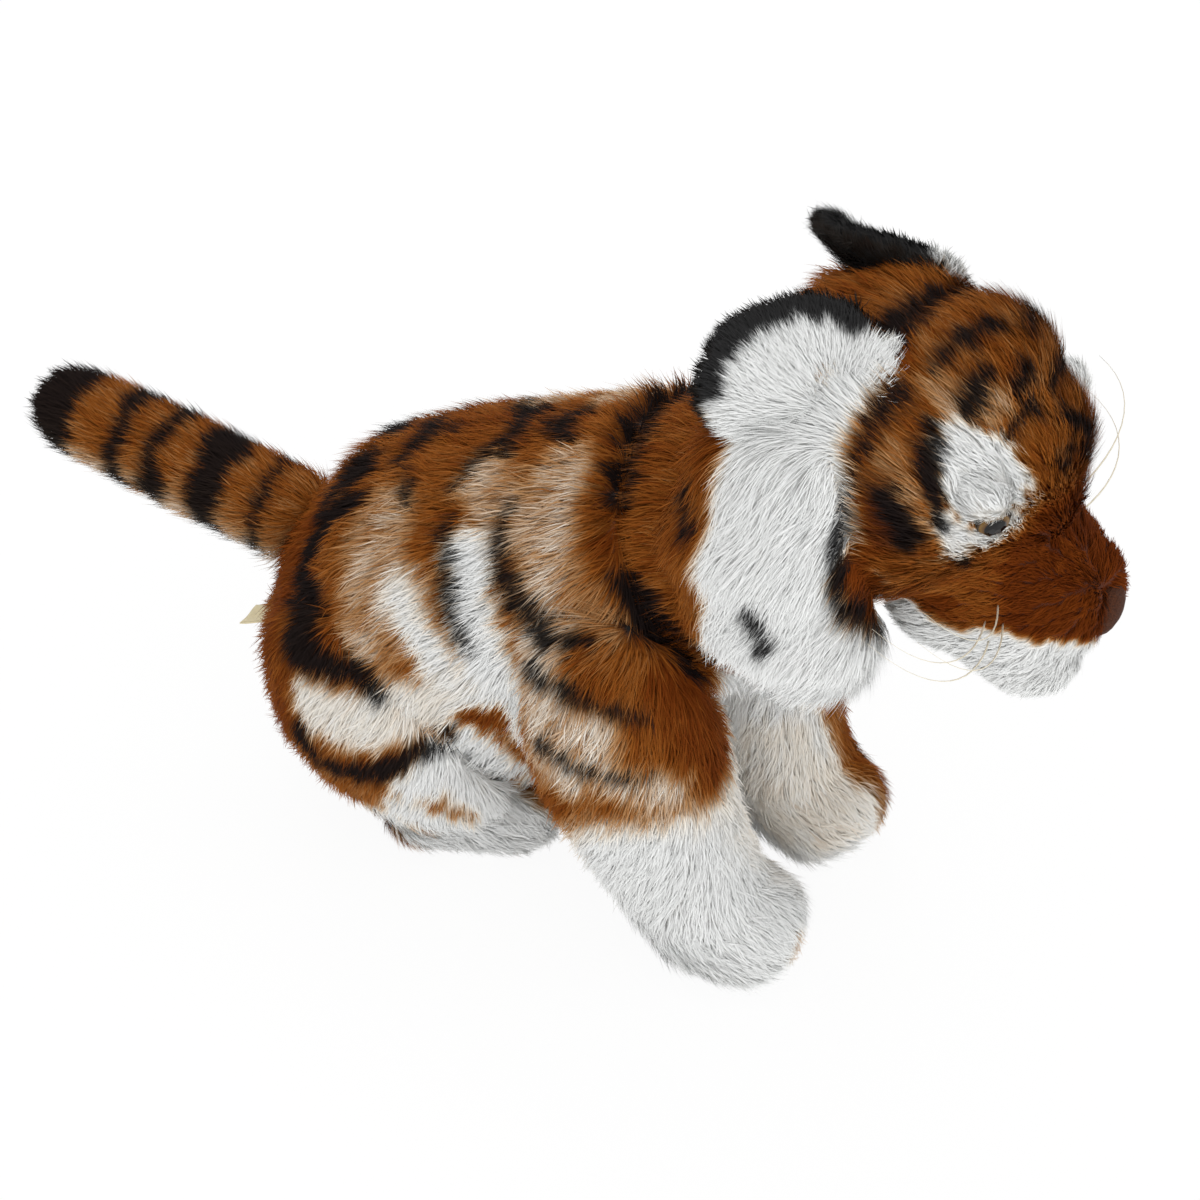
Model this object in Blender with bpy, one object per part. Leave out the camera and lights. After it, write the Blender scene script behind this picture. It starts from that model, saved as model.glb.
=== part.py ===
"""A sitting plush tiger, modelled at its real size in metres.

The toy faces minus Y, its own left side is plus X, and the origin lies on the floor in
the middle of the flat patch under the rump. Each stuffed form is a run of oval rings
strung on a smooth spine. Its skin is a wall of backing and dense pile, open where it is
sewn to its neighbour, and its fibre stuffing is a solid of its own inside the skin. The
loose tips of the pile stand proud of these solids.
"""

import math

import bmesh
import bpy
from mathutils import Matrix, Vector

# General sizes
CLEARANCE = 0.0003
SKIN = 0.0045
STAND_CUT = 0.0005
SWEEP_MARGIN = 0.0006
OVERRUN = 0.03
STUB_CAP = 0.001
FLOOR_REACH = 0.4
SHARP_TURN = math.radians(40)

# Trunk: a rump that sits on the floor, and a spine that climbs forward to the neck
RUMP_RADIUS = 0.060
TRUNK_LENGTH = 0.127
TRUNK_RISE = 0.1145
TRUNK_WIDTH = 0.122
TRUNK_DEPTH = 0.144
TRUNK_FORWARD_SHARES = (0.0, 0.18, 0.48, 0.77)
TRUNK_RISE_SHARES = (0.0, 0.34, 0.61, 0.835)
TRUNK_WIDTH_SHARES = (0.425, 0.46, 0.475, 0.455)
TRUNK_DEPTH_SHARES = (0.42, 0.472, 0.41, 0.35)

# Neck: a stuffed ball that stands in the trunk's open end and in a cup in the head
NECK_RADIUS = 0.0445
NECK_OUT = 0.012
NECK_MOUTH = 0.029

# Belly panel: a long oval let into the underside of the trunk skin
BELLY_HALF_WIDTH = 0.036
BELLY_HALF_DEPTH = 0.024
BELLY_SPAN_SHARES = (0.30, 0.88)
BELLY_WIDTH_SHARES = (0.6, 0.95, 1.0, 1.0, 0.8)

# Head: skull and muzzle, tipped down at the neck
HEAD_FORWARD = 0.063
HEAD_ABOVE = 0.060
HEAD_TIP = math.radians(30)
HEAD_TURN = math.radians(15)
HEAD_NOD = math.radians(8)
SKULL_LENGTH = 0.100
SKULL_WIDTH = 0.107
SKULL_HEIGHT = 0.107
SKULL_FORWARD_SHARES = (-0.30, 0.0, 0.19, 0.335)
SKULL_RISE_SHARES = (-0.02, 0.0, 0.0, -0.03)
SKULL_WIDTH_SHARES = (0.41, 0.50, 0.46, 0.32)
SKULL_HEIGHT_SHARES = (0.42, 0.50, 0.46, 0.34)
SKULL_CAPS = (0.028, 0.012)
MUZZLE_REACH = 0.084
MUZZLE_WIDTH = 0.066
MUZZLE_HEIGHT = 0.064
MUZZLE_FORWARD_SHARES = (0.30, 0.58, 0.80)
MUZZLE_RISE_SHARES = (-0.10, -0.20, -0.30)
MUZZLE_WIDTH_SHARES = (0.52, 0.50, 0.43)
MUZZLE_HEIGHT_SHARES = (0.50, 0.51, 0.45)
MUZZLE_CAP = 0.015
CHIN_TOP = -0.018

# Cheek ruffs and ears, in the head's own directions, on its left side
RUFF_PLACES = (
    (0.046, 0.034, 0.004), (0.054, 0.016, -0.020), (0.050, -0.003, -0.046), (0.038, -0.018, -0.066),
)
RUFF_HALF_WIDTHS = (0.009, 0.014, 0.014, 0.012)
RUFF_HALF_DEPTHS = (0.024, 0.034, 0.032, 0.020)
RUFF_CAPS = (0.010, 0.012)
EAR_PLACE = Vector((0.0365, 0.030, 0.013))
EAR_UP = Vector((-0.42, 0.785, 0.459))
EAR_FACING = Vector((0.78, 0.05, 0.57))
EAR_HEIGHT = 0.038
EAR_HALF_WIDTH = 0.033
EAR_PLACE_SHARES = (0.0, 0.27, 0.54, 0.80)
EAR_WIDTH_SHARES = (0.70, 0.94, 1.0, 0.80)
EAR_TIP_CAP = 0.012
EAR_CUP = 0.012
EAR_WALL = 0.0042
EAR_LINING_SHARE = 0.90
EAR_FLEX_OUT = math.radians(20)
EAR_FLEX_IN = math.radians(4)

# Small parts of the face
EYE_ALONG_SHARE = 0.76
EYE_TURN = math.radians(45)
EYE_RADIUS = 0.0065
EYE_DOME = 0.0045
EYE_SINK = 0.001
EYE_STEM_RADIUS = 0.002
EYE_STEM_LENGTH = 0.009
WASHER_RADIUS = 0.006
WASHER_THICKNESS = 0.0016
WASHER_DEPTH = 0.0062
NOSE_HALF_WIDTH = 0.011
NOSE_HALF_HEIGHT = 0.008
NOSE_HALF_DEPTH = 0.005
NOSE_ALONG_SHARE = 1.30
WHISKER_RADIUS = 0.0004
WHISKER_LENGTH = 0.060
WHISKER_ROOT_SHARES = (0.46, 0.54, 0.62, 0.70)
WHISKER_TURNS = (math.radians(26), math.radians(12), math.radians(20), math.radians(6))
WHISKER_OUT_SHARES = (0.84, 0.72, 0.78, 0.66)
WHISKER_BACK_SHARES = (0.52, 0.64, 0.58, 0.70)

# Front leg: a sock that hangs from the shoulder and turns forward into the paw
SHOULDER = Vector((0.055, -0.105, 0.138))
FRONT_PLACES = (
    (0.046, -0.104, 0.146), (0.048, -0.109, 0.115), (0.045, -0.117, 0.082),
    (0.040, -0.127, 0.052), (0.037, -0.140, 0.0267), (0.034, -0.157, 0.0182),
)
FRONT_HALF_WIDTHS = (0.025, 0.028, 0.027, 0.025, 0.0245, 0.0225)
FRONT_HALF_DEPTHS = (0.032, 0.034, 0.030, 0.0255, 0.0230, 0.0205)
FRONT_CAPS = (0.024, 0.013)
FRONT_SEAM_SHARE = 0.46
FRONT_SWING_BACK = math.radians(6)
FRONT_SWING_AHEAD = math.radians(15)

# Hind leg: a flat oval thigh and a foot that lies on the floor in front of it
HIP = Vector((0.056, 0.0, 0.066))
THIGH_PLACES = ((0.041, 0.009, 0.096), (0.045, -0.009, 0.072), (0.039, -0.027, 0.046))
THIGH_HALF_WIDTHS = (0.017, 0.021, 0.022)
THIGH_HALF_DEPTHS = (0.034, 0.043, 0.034)
THIGH_CAPS = (0.022, 0.022)
FOOT_PLACES = ((0.034, -0.017, 0.0197), (0.025, -0.034, 0.0195), (0.0205, -0.049, 0.0178))
FOOT_HALF_WIDTHS = (0.017, 0.018, 0.017)
FOOT_HALF_DEPTHS = (0.0200, 0.0205, 0.0180)
FOOT_CAPS = (0.014, 0.015)
HIND_LIFT = math.radians(12)

# Tail
TAIL_ROOT = Vector((0.0, 0.056, 0.106))
TAIL_PLACES = ((0.0, 0.038, 0.104), (0.0, 0.078, 0.111), (0.0, 0.118, 0.117), (0.0, 0.153, 0.122))
TAIL_HALF_WIDTHS = (0.0155, 0.0155, 0.0155, 0.0140)
TAIL_CAP = 0.013
TAIL_SEAM_SHARE = 0.86
TAIL_WAG = math.radians(25)
TAIL_STEPS = 5

# Blank sewn-in label
LABEL_PLACE = Vector((-0.010, 0.062, 0.062))
LABEL_TILT = math.radians(20)
LABEL_WIDTH = 0.012
LABEL_LENGTH = 0.022
LABEL_THICKNESS = 0.0008

# How finely each form is faceted: rings along it, rings in each cap, sides round it
TRUNK_DETAIL = (8, 6, 16)
SKULL_DETAIL = (7, 4, 14)
LIMB_DETAIL = (4, 3, 12)
SMALL_DETAIL = (4, 3, 12)
EAR_DETAIL = (4, 3, 10)
TAIL_DETAIL = (4, 3, 10)
TIP_DETAIL = (2, 3, 10)
BALL_RINGS = 8
BALL_SIDES = 16
ROUND_SIDES = 10
SWEEP_STEPS = 3
CUP_STEPS = 5
EYE_STEPS = 4
WHISKER_STEPS = 4
WHISKER_SIDES = 4


def smooth(values, share):
    """The value at a share of a smooth curve through the given values."""
    ends = [2 * values[0] - values[1]] + list(values) + [2 * values[-1] - values[-2]]
    along = share * (len(values) - 1)
    first = min(int(along), len(values) - 2)
    a, b, c, d = ends[first:first + 4]
    rest = along - first
    return (2 * b + (c - a) * rest + (2 * a - 5 * b + 4 * c - d) * rest ** 2
            + (3 * b - 3 * c + d - a) * rest ** 3) / 2


class Form:
    """Oval rings on a smooth spine, with a rounded cap at each end."""

    def __init__(self, places, half_widths, half_depths, caps, side=(1, 0, 0), cup=0.0):
        self.places = [Vector(place) for place in places]
        self.half_widths = half_widths
        self.half_depths = half_depths
        self.caps = caps
        self.side = Vector(side)
        self.cup = cup

    def moved(self, matrix):
        places = [matrix @ place for place in self.places]
        side = matrix.to_3x3() @ self.side
        return Form(places, self.half_widths, self.half_depths, self.caps, side, self.cup)

    def on_side(self, side):
        """The same form on the left, side 1, or mirrored to the right, side -1."""
        places = [Vector((place.x * side, place.y, place.z)) for place in self.places]
        return Form(places, self.half_widths, self.half_depths, self.caps, self.side, self.cup)

    def ahead(self, share):
        step = 0.01
        after = smooth(self.places, min(share + step, 1))
        before = smooth(self.places, max(share - step, 0))
        return (after - before).normalized()

    def ring(self, share, grow, sides, shift=0.0, squeeze=1.0):
        ahead = self.ahead(share)
        across = (self.side - ahead * self.side.dot(ahead)).normalized()
        over = ahead.cross(across)
        centre = smooth(self.places, share) + ahead * shift
        half_width = (smooth(self.half_widths, share) + grow) * squeeze
        half_depth = (smooth(self.half_depths, share) + grow) * squeeze
        points = []
        for number in range(sides):
            turn = 2 * math.pi * number / sides
            aside = half_width * math.cos(turn)
            rise = half_depth * math.sin(turn)
            if self.cup:
                rise += self.cup * (aside / max(self.half_widths)) ** 2
            points.append(centre + across * aside + over * rise)
        return points

    def surface(self, share, turn, grow=0.0):
        """A point of the surface and its direction out. Shares over 1 go round the last cap."""
        def point(share, turn):
            along = min(share, 1)
            cap_turn = max(share - 1, 0) * math.pi / 2
            ahead = self.ahead(along)
            across = (self.side - ahead * self.side.dot(ahead)).normalized()
            over = ahead.cross(across)
            centre = smooth(self.places, along) + ahead * ((self.caps[1] + grow) * math.sin(cap_turn))
            half_width = (smooth(self.half_widths, along) + grow) * math.cos(cap_turn)
            half_depth = (smooth(self.half_depths, along) + grow) * math.cos(cap_turn)
            return centre + across * (half_width * math.cos(turn)) + over * (half_depth * math.sin(turn))
        step = 0.01
        place = point(share, turn)
        along = point(share + step, turn) - point(share - step, turn)
        round_it = point(share, turn + step) - point(share, turn - step)
        return place, round_it.cross(along).normalized()

    def rows(self, grow, detail, span=(0, 1), insets=(0, 0)):
        """Rings between the shares of a span, so many to each part of it, and the middle end points."""
        count, cap_count, sides = detail
        cap_turns = [math.pi / 2 * step / cap_count for step in range(1, cap_count)]
        shares = [span[0]]
        for low, high in zip(span, span[1:]):
            shares += [low + (high - low) * step / (count - 1) for step in range(1, count)]
        rings = []
        if span[0] == 0:
            reach = self.caps[0] + grow
            first = smooth(self.places, 0) - self.ahead(0) * reach
            for turn in reversed(cap_turns):
                rings.append(self.ring(0, grow, sides, -reach * math.sin(turn), math.cos(turn)))
        else:
            first = smooth(self.places, span[0]) + self.ahead(span[0]) * insets[0]
        for share in shares:
            shift = insets[0] if share == span[0] else -insets[1] if share == span[-1] else 0
            rings.append(self.ring(share, grow, sides, shift))
        if span[-1] == 1 and self.caps[1]:
            reach = self.caps[1] + grow
            last = smooth(self.places, 1) + self.ahead(1) * reach
            for turn in cap_turns:
                rings.append(self.ring(1, grow, sides, reach * math.sin(turn), math.cos(turn)))
        else:
            last = smooth(self.places, span[-1]) - self.ahead(span[-1]) * insets[1]
        return first, rings, last


def add_tube(mesh, rings):
    """Joins rings of points by triangles that look out, split alike so that walls stay parallel."""
    rows = [[mesh.verts.new(point) for point in ring] for ring in rings]
    for row, after in zip(rows, rows[1:]):
        for number in range(len(row)):
            mesh.faces.new((row[number - 1], row[number], after[number]))
            mesh.faces.new((row[number - 1], after[number], after[number - 1]))
    return rows


def close_ends(mesh, rows, tips):
    """Fans of faces over the ends that have a tip point."""
    for row, tip, forward in ((rows[0], tips[0], False), (rows[-1], tips[1], True)):
        if tip is None:
            continue
        point = mesh.verts.new(tip)
        for number in range(len(row)):
            pair = (row[number - 1], row[number]) if forward else (row[number], row[number - 1])
            mesh.faces.new((*pair, point))


def solid_mesh(form, grow, detail, span=(0, 1), insets=(0, 0)):
    mesh = bmesh.new()
    first, rings, last = form.rows(grow, detail, span, insets)
    close_ends(mesh, add_tube(mesh, rings), (first, last))
    return mesh


def skin_mesh(form, detail, open_ends, span=(0, 1), insets=(0, 0)):
    """A wall as thick as the skin, with its rim bridged at each open end."""
    mesh = bmesh.new()
    walls = []
    for grow in (0, -SKIN):
        first, rings, last = form.rows(grow, detail, span, insets)
        tips = [None if is_open else tip for is_open, tip in zip(open_ends, (first, last))]
        rows = add_tube(mesh, rings)
        close_ends(mesh, rows, tips)
        if grow == 0:
            outer_faces = len(mesh.faces)
        walls.append(rows)
    mesh.faces.ensure_lookup_table()
    bmesh.ops.reverse_faces(mesh, faces=mesh.faces[outer_faces:])
    outer, inner = walls
    for is_open, end in zip(open_ends, (0, -1)):
        if not is_open:
            continue
        for number in range(len(outer[end])):
            rim = (outer[end][number - 1], outer[end][number], inner[end][number], inner[end][number - 1])
            mesh.faces.new(rim if end else rim[::-1])
    return mesh


def hull_mesh(points):
    """The tightest mesh with no hollow that holds all the points."""
    mesh = bmesh.new()
    for point in points:
        mesh.verts.new(point)
    found = bmesh.ops.convex_hull(mesh, input=mesh.verts)
    spare = {part for part in found["geom_interior"] + found["geom_unused"]
             if isinstance(part, bmesh.types.BMVert)}
    bmesh.ops.delete(mesh, geom=list(spare), context="VERTS")
    bmesh.ops.recalc_face_normals(mesh, faces=mesh.faces)
    return mesh


def sweep_mesh(points, pivot, turns):
    """The room that a solid needs while it turns about a pivot, as one hull."""
    return hull_mesh([pivot + turn @ (point - pivot) for turn in turns for point in points])


def ball_mesh(centre, radius, rings, sides):
    mesh = bmesh.new()
    bmesh.ops.create_uvsphere(mesh, u_segments=sides, v_segments=rings, radius=radius,
                              matrix=Matrix.Translation(centre))
    return mesh


def grown_points(form, detail):
    first, rings, last = form.rows(SWEEP_MARGIN, detail, (0, 1), (0, -SWEEP_MARGIN))
    return [first, last] + [point for ring in rings for point in ring]


def ball_points(centre, radius):
    mesh = ball_mesh(centre, radius, BALL_RINGS, BALL_SIDES)
    points = [vertex.co.copy() for vertex in mesh.verts]
    mesh.free()
    return points


def drum_mesh(centre, along, radii, length, sides):
    """A round bar or cone along a direction, with its middle at the centre."""
    mesh = bmesh.new()
    matrix = Matrix.Translation(centre) @ Vector(along).to_track_quat("Z", "Y").to_matrix().to_4x4()
    bmesh.ops.create_cone(mesh, cap_ends=True, segments=sides, radius1=radii[0], radius2=radii[1],
                          depth=length, matrix=matrix)
    return mesh


def box_mesh(low, high):
    mesh = bmesh.new()
    size = [b - a for a, b in zip(low, high)]
    middle = [(a + b) / 2 for a, b in zip(low, high)]
    bmesh.ops.create_cube(mesh, size=1, matrix=Matrix.LocRotScale(middle, None, size))
    return mesh


def turns_about(axis, low, high, count):
    """Turn matrices, evenly spaced, by which a fixed neighbour moves seen from a moving piece."""
    return [Matrix.Rotation(-(low + (high - low) * step / (count - 1)), 3, axis)
            for step in range(count)]


def make_material(name, colour, roughness):
    material = bpy.data.materials.new(name)
    material.use_nodes = True
    shader = material.node_tree.nodes["Principled BSDF"]
    shader.inputs["Base Color"].default_value = (*colour, 1)
    shader.inputs["Roughness"].default_value = roughness
    shader.inputs["Metallic"].default_value = 0
    return material


class Shop:
    """Turns meshes into named objects, on the joint's own empty where a piece moves."""

    def __init__(self):
        self.carriers = {}
        self.materials = {}

    def carrier(self, name, pivot):
        empty = bpy.data.objects.new(name, None)
        empty.location = pivot
        bpy.context.scene.collection.objects.link(empty)
        self.carriers[name] = empty

    def piece(self, name, mesh, material, carrier=None):
        pivot = self.carriers[carrier].location if carrier else Vector()
        bmesh.ops.translate(mesh, verts=mesh.verts, vec=-pivot)
        data = bpy.data.meshes.new(name)
        mesh.to_mesh(data)
        mesh.free()
        data.shade_smooth()
        data.set_sharp_from_angle(angle=SHARP_TURN)
        data.materials.append(self.materials[material])
        obj = bpy.data.objects.new(name, data)
        bpy.context.scene.collection.objects.link(obj)
        if carrier:
            obj.parent = self.carriers[carrier]
        return obj

    def cutter(self, name, mesh):
        data = bpy.data.meshes.new(name)
        mesh.to_mesh(data)
        mesh.free()
        obj = bpy.data.objects.new(name, data)
        obj.hide_render = True
        obj.display_type = "WIRE"
        bpy.context.scene.collection.objects.link(obj)
        return obj


def cut(obj, cutters, operation="DIFFERENCE"):
    for cutter in cutters:
        modifier = obj.modifiers.new(cutter.name, "BOOLEAN")
        modifier.operation = operation
        modifier.object = cutter


def place_on(side, place):
    return Vector((place.x * side, place.y, place.z))


def lathe_mesh(foot, axis, profile, sides):
    """Turns a profile of (radius, height) points about an axis. Its ends lie on the axis."""
    mesh = bmesh.new()
    matrix = Matrix.Translation(foot) @ axis.to_track_quat("Z", "Y").to_matrix().to_4x4()
    rings = []
    for radius, height in profile[1:-1]:
        rings.append([matrix @ Vector((radius * math.cos(2 * math.pi * number / sides),
                                       radius * math.sin(2 * math.pi * number / sides), height))
                      for number in range(sides)])
    tips = [matrix @ Vector((0, 0, height)) for radius, height in (profile[0], profile[-1])]
    close_ends(mesh, add_tube(mesh, rings), tips)
    return mesh


def thread_mesh(points, radius, sides):
    """A thin closed tube along a line of points."""
    mesh = bmesh.new()
    rings = []
    for index, point in enumerate(points):
        before = points[max(index - 1, 0)]
        after = points[min(index + 1, len(points) - 1)]
        ahead = (after - before).normalized()
        if index == 0:
            across = ahead.orthogonal()
        across = (across - ahead * across.dot(ahead)).normalized()
        over = ahead.cross(across)
        rings.append([point + across * (radius * math.cos(2 * math.pi * number / sides))
                      + over * (radius * math.sin(2 * math.pi * number / sides))
                      for number in range(sides)])
    close_ends(mesh, add_tube(mesh, rings), (points[0], points[-1]))
    return mesh


MATERIALS = {
    "orange_plush": ((0.46, 0.17, 0.04), 0.95),
    "white_plush": ((0.86, 0.83, 0.78), 0.95),
    "rust_plush": ((0.40, 0.13, 0.03), 0.9),
    "black_plush": ((0.02, 0.018, 0.016), 0.9),
    "fibre_stuffing": ((0.88, 0.88, 0.87), 1.0),
    "nose_cloth": ((0.03, 0.02, 0.018), 0.5),
    "eye_plastic": ((0.30, 0.13, 0.02), 0.08),
    "washer_plastic": ((0.80, 0.80, 0.78), 0.5),
    "whisker_nylon": ((0.85, 0.82, 0.74), 0.35),
    "label_satin": ((0.85, 0.78, 0.55), 0.6),
}


def trunk_form():
    floor_rise = RUMP_RADIUS - STAND_CUT
    places = [Vector((0, -TRUNK_LENGTH * forward, floor_rise + TRUNK_RISE * rise))
              for forward, rise in zip(TRUNK_FORWARD_SHARES, TRUNK_RISE_SHARES)]
    neck = Vector((0, -TRUNK_LENGTH, floor_rise + TRUNK_RISE))
    neck_ahead = (neck - places[-1]).normalized()
    mouth = math.sqrt((NECK_RADIUS + CLEARANCE) ** 2 - NECK_OUT ** 2)
    rim = mouth / math.cos(math.pi / TRUNK_DETAIL[2]) + SKIN
    half_widths = [TRUNK_WIDTH * share for share in TRUNK_WIDTH_SHARES] + [rim]
    half_depths = [TRUNK_DEPTH * share for share in TRUNK_DEPTH_SHARES] + [rim]
    places.append(neck - neck_ahead * NECK_OUT)
    return Form(places, half_widths, half_depths, (RUMP_RADIUS, 0)), neck, neck_ahead


def belly_form(trunk):
    """A slim oval form whose spine runs along the underside of the trunk."""
    low, high = BELLY_SPAN_SHARES
    count = len(BELLY_WIDTH_SHARES)
    places = [trunk.surface(low + (high - low) * step / (count - 1), -math.pi / 2)[0]
              for step in range(count)]
    widths = [BELLY_HALF_WIDTH * share for share in BELLY_WIDTH_SHARES]
    cap = BELLY_HALF_WIDTH / 2
    return Form(places, widths, [BELLY_HALF_DEPTH] * count, (cap, cap))


def ball_room(radius):
    """The radius of a faceted cup in which a faceted ball of this radius turns freely."""
    facet = math.cos(math.pi / BALL_SIDES) * math.cos(math.pi / 2 / BALL_RINGS)
    return (radius + CLEARANCE) / facet


def build_trunk(shop, trunk, neck):
    belly = belly_form(trunk)
    floor = shop.cutter("floor_cutter", box_mesh((-FLOOR_REACH, -FLOOR_REACH, -OVERRUN),
                                                 (FLOOR_REACH, FLOOR_REACH, 0)))
    belly_room = shop.cutter("belly_room", solid_mesh(belly, CLEARANCE, LIMB_DETAIL))
    belly_cutter = shop.cutter("belly_cutter", solid_mesh(belly, 0, LIMB_DETAIL))
    turns = turns_about("Z", -HEAD_TURN, HEAD_TURN, CUP_STEPS)
    cup = shop.cutter("neck_cup", sweep_mesh(ball_points(neck, NECK_RADIUS + CLEARANCE), neck, turns))
    body = shop.piece("body_skin", skin_mesh(trunk, TRUNK_DETAIL, (False, True)), "orange_plush")
    cut(body, (floor, belly_room))
    panel = shop.piece("belly_panel", skin_mesh(trunk, TRUNK_DETAIL, (False, True)), "white_plush")
    cut(panel, (belly_cutter,), "INTERSECT")
    core = solid_mesh(trunk, -SKIN - CLEARANCE, TRUNK_DETAIL)
    stuffing = shop.piece("body_stuffing", core, "fibre_stuffing")
    cut(stuffing, (cup,))
    return floor


def turned_solids(shop, name, form, detail, pivot, turns):
    """A neighbour at several turns about a pivot. A moving piece cut by all of them swings freely."""
    solids = []
    for number, turn in enumerate(turns):
        matrix = Matrix.Translation(pivot) @ turn.to_4x4() @ Matrix.Translation(-pivot)
        mesh = solid_mesh(form.moved(matrix), SWEEP_MARGIN, detail, (0, 1), (0, -SWEEP_MARGIN))
        solids.append(shop.cutter(f"{name}_{number}", mesh))
    return solids


def build_neck(shop, neck, neck_ahead):
    shop.carrier("neck_joint", neck)
    outer = ball_mesh(neck, NECK_RADIUS, BALL_RINGS, BALL_SIDES)
    skin = shop.piece("neck_skin", outer, "orange_plush", "neck_joint")
    hollow = shop.cutter("neck_hollow", ball_mesh(neck, NECK_RADIUS - SKIN, BALL_RINGS, BALL_SIDES))
    mouths = shop.cutter("neck_mouths", drum_mesh(neck, neck_ahead, (NECK_MOUTH, NECK_MOUTH),
                                                  NECK_RADIUS * 2 + OVERRUN, BALL_SIDES))
    cut(skin, (hollow, mouths))
    core = ball_mesh(neck, NECK_RADIUS - SKIN - CLEARANCE, BALL_RINGS, BALL_SIDES)
    shop.piece("neck_stuffing", core, "fibre_stuffing", "neck_joint")


def head_matrix(neck):
    place = neck + Vector((0, -HEAD_FORWARD, HEAD_ABOVE))
    return Matrix.Translation(place) @ Matrix.Rotation(HEAD_TIP, 4, "X")


def head_forms(matrix):
    skull = Form([(0, -SKULL_LENGTH * forward, SKULL_HEIGHT * rise)
                  for forward, rise in zip(SKULL_FORWARD_SHARES, SKULL_RISE_SHARES)],
                 [SKULL_WIDTH * share for share in SKULL_WIDTH_SHARES],
                 [SKULL_HEIGHT * share for share in SKULL_HEIGHT_SHARES], SKULL_CAPS)
    muzzle = Form([(0, -MUZZLE_REACH * forward, MUZZLE_HEIGHT * rise)
                   for forward, rise in zip(MUZZLE_FORWARD_SHARES, MUZZLE_RISE_SHARES)],
                  [MUZZLE_WIDTH * share for share in MUZZLE_WIDTH_SHARES],
                  [MUZZLE_HEIGHT * share for share in MUZZLE_HEIGHT_SHARES], (STUB_CAP, MUZZLE_CAP))
    return skull.moved(matrix), muzzle.moved(matrix)


def head_rooms(shop, trunk, neck):
    """The spaces that every piece of the head keeps clear of."""
    nods = turns_about("X", -HEAD_NOD, HEAD_NOD, CUP_STEPS)
    cup = shop.cutter("head_cup", sweep_mesh(ball_points(neck, NECK_RADIUS + CLEARANCE), neck, nods))
    turns = [nod @ turn for nod in turns_about("X", -HEAD_NOD, HEAD_NOD, SWEEP_STEPS)
             for turn in turns_about("Z", -HEAD_TURN, HEAD_TURN, SWEEP_STEPS)]
    room = shop.cutter("trunk_room", sweep_mesh(grown_points(trunk, TRUNK_DETAIL), neck, turns))
    return cup, room


def box_in_head(shop, name, matrix, low, high):
    mesh = box_mesh(low, high)
    bmesh.ops.transform(mesh, matrix=matrix, verts=mesh.verts)
    return shop.cutter(name, mesh)


def eye_mesh(foot, out, grow):
    """A stem with a dome on it. Grown, it is the room that the eye needs."""
    stem = EYE_STEM_RADIUS + grow
    inner = EYE_STEM_LENGTH + grow
    profile = [(0, -inner), (stem, -inner), (stem, -grow), (EYE_RADIUS + grow, -grow)]
    for step in range(1, EYE_STEPS):
        angle = math.pi / 2 * step / EYE_STEPS
        profile.append(((EYE_RADIUS + grow) * math.cos(angle), (EYE_DOME + grow) * math.sin(angle)))
    profile.append((0, EYE_DOME + grow))
    return lathe_mesh(foot, out, profile, ROUND_SIDES)


def build_eye(shop, side, word, skull):
    """An eye sunk a little in the pile, and the washer behind the skin that holds its stem."""
    turn = EYE_TURN if side > 0 else math.pi - EYE_TURN
    place, out = skull.surface(EYE_ALONG_SHARE, turn)
    foot = place - out * EYE_SINK
    shop.piece(f"eye_{word}", eye_mesh(foot, out, 0), "eye_plastic", "head_joint")
    eye_room = shop.cutter(f"eye_room_{word}", eye_mesh(foot, out, CLEARANCE))
    middle = foot - out * WASHER_DEPTH
    disc = drum_mesh(middle, out, (WASHER_RADIUS,) * 2, WASHER_THICKNESS, ROUND_SIDES)
    washer = shop.piece(f"eye_washer_{word}", disc, "washer_plastic", "head_joint")
    cut(washer, (eye_room,))
    wide = (WASHER_RADIUS + CLEARANCE * 2,) * 2
    high = WASHER_THICKNESS + CLEARANCE * 2
    space = shop.cutter(f"washer_room_{word}", drum_mesh(middle, out, wide, high, ROUND_SIDES))
    return eye_room, space


def build_head(shop, matrix, skull, muzzle, rooms):
    shop.carrier("head_joint", shop.carriers["neck_joint"].location)
    wide = SKULL_WIDTH
    gap = CLEARANCE / 2
    above = box_in_head(shop, "above_mouth", matrix, (-wide, -wide, CHIN_TOP - gap), (wide, wide, wide))
    below = box_in_head(shop, "below_mouth", matrix, (-wide, -wide, -wide), (wide, wide, CHIN_TOP + gap))
    skull_room = shop.cutter("skull_room", solid_mesh(skull, CLEARANCE, SKULL_DETAIL))
    muzzle_hole = shop.cutter("muzzle_hole", solid_mesh(muzzle, -SKIN, SMALL_DETAIL))
    muzzle_core = shop.cutter("muzzle_core", solid_mesh(muzzle, -SKIN - CLEARANCE, SMALL_DETAIL))
    eyes = (*build_eye(shop, 1, "left", skull), *build_eye(shop, -1, "right", skull))
    shell = skin_mesh(skull, SKULL_DETAIL, (False, False))
    skin = shop.piece("head_skin", shell, "orange_plush", "head_joint")
    cut(skin, (*rooms, muzzle_hole, *eyes))
    core = solid_mesh(skull, -SKIN - CLEARANCE, SKULL_DETAIL)
    stuffing = shop.piece("head_stuffing", core, "fibre_stuffing", "head_joint")
    cut(stuffing, (muzzle_core,), "UNION")
    cut(stuffing, (*rooms, *eyes))
    for name, material, other in (("muzzle_cover", "rust_plush", below),
                                  ("chin_cover", "white_plush", above)):
        cover = shop.piece(name, skin_mesh(muzzle, SMALL_DETAIL, (True, False)), material, "head_joint")
        cut(cover, (skull_room, other, *rooms))
    return skull_room


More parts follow.
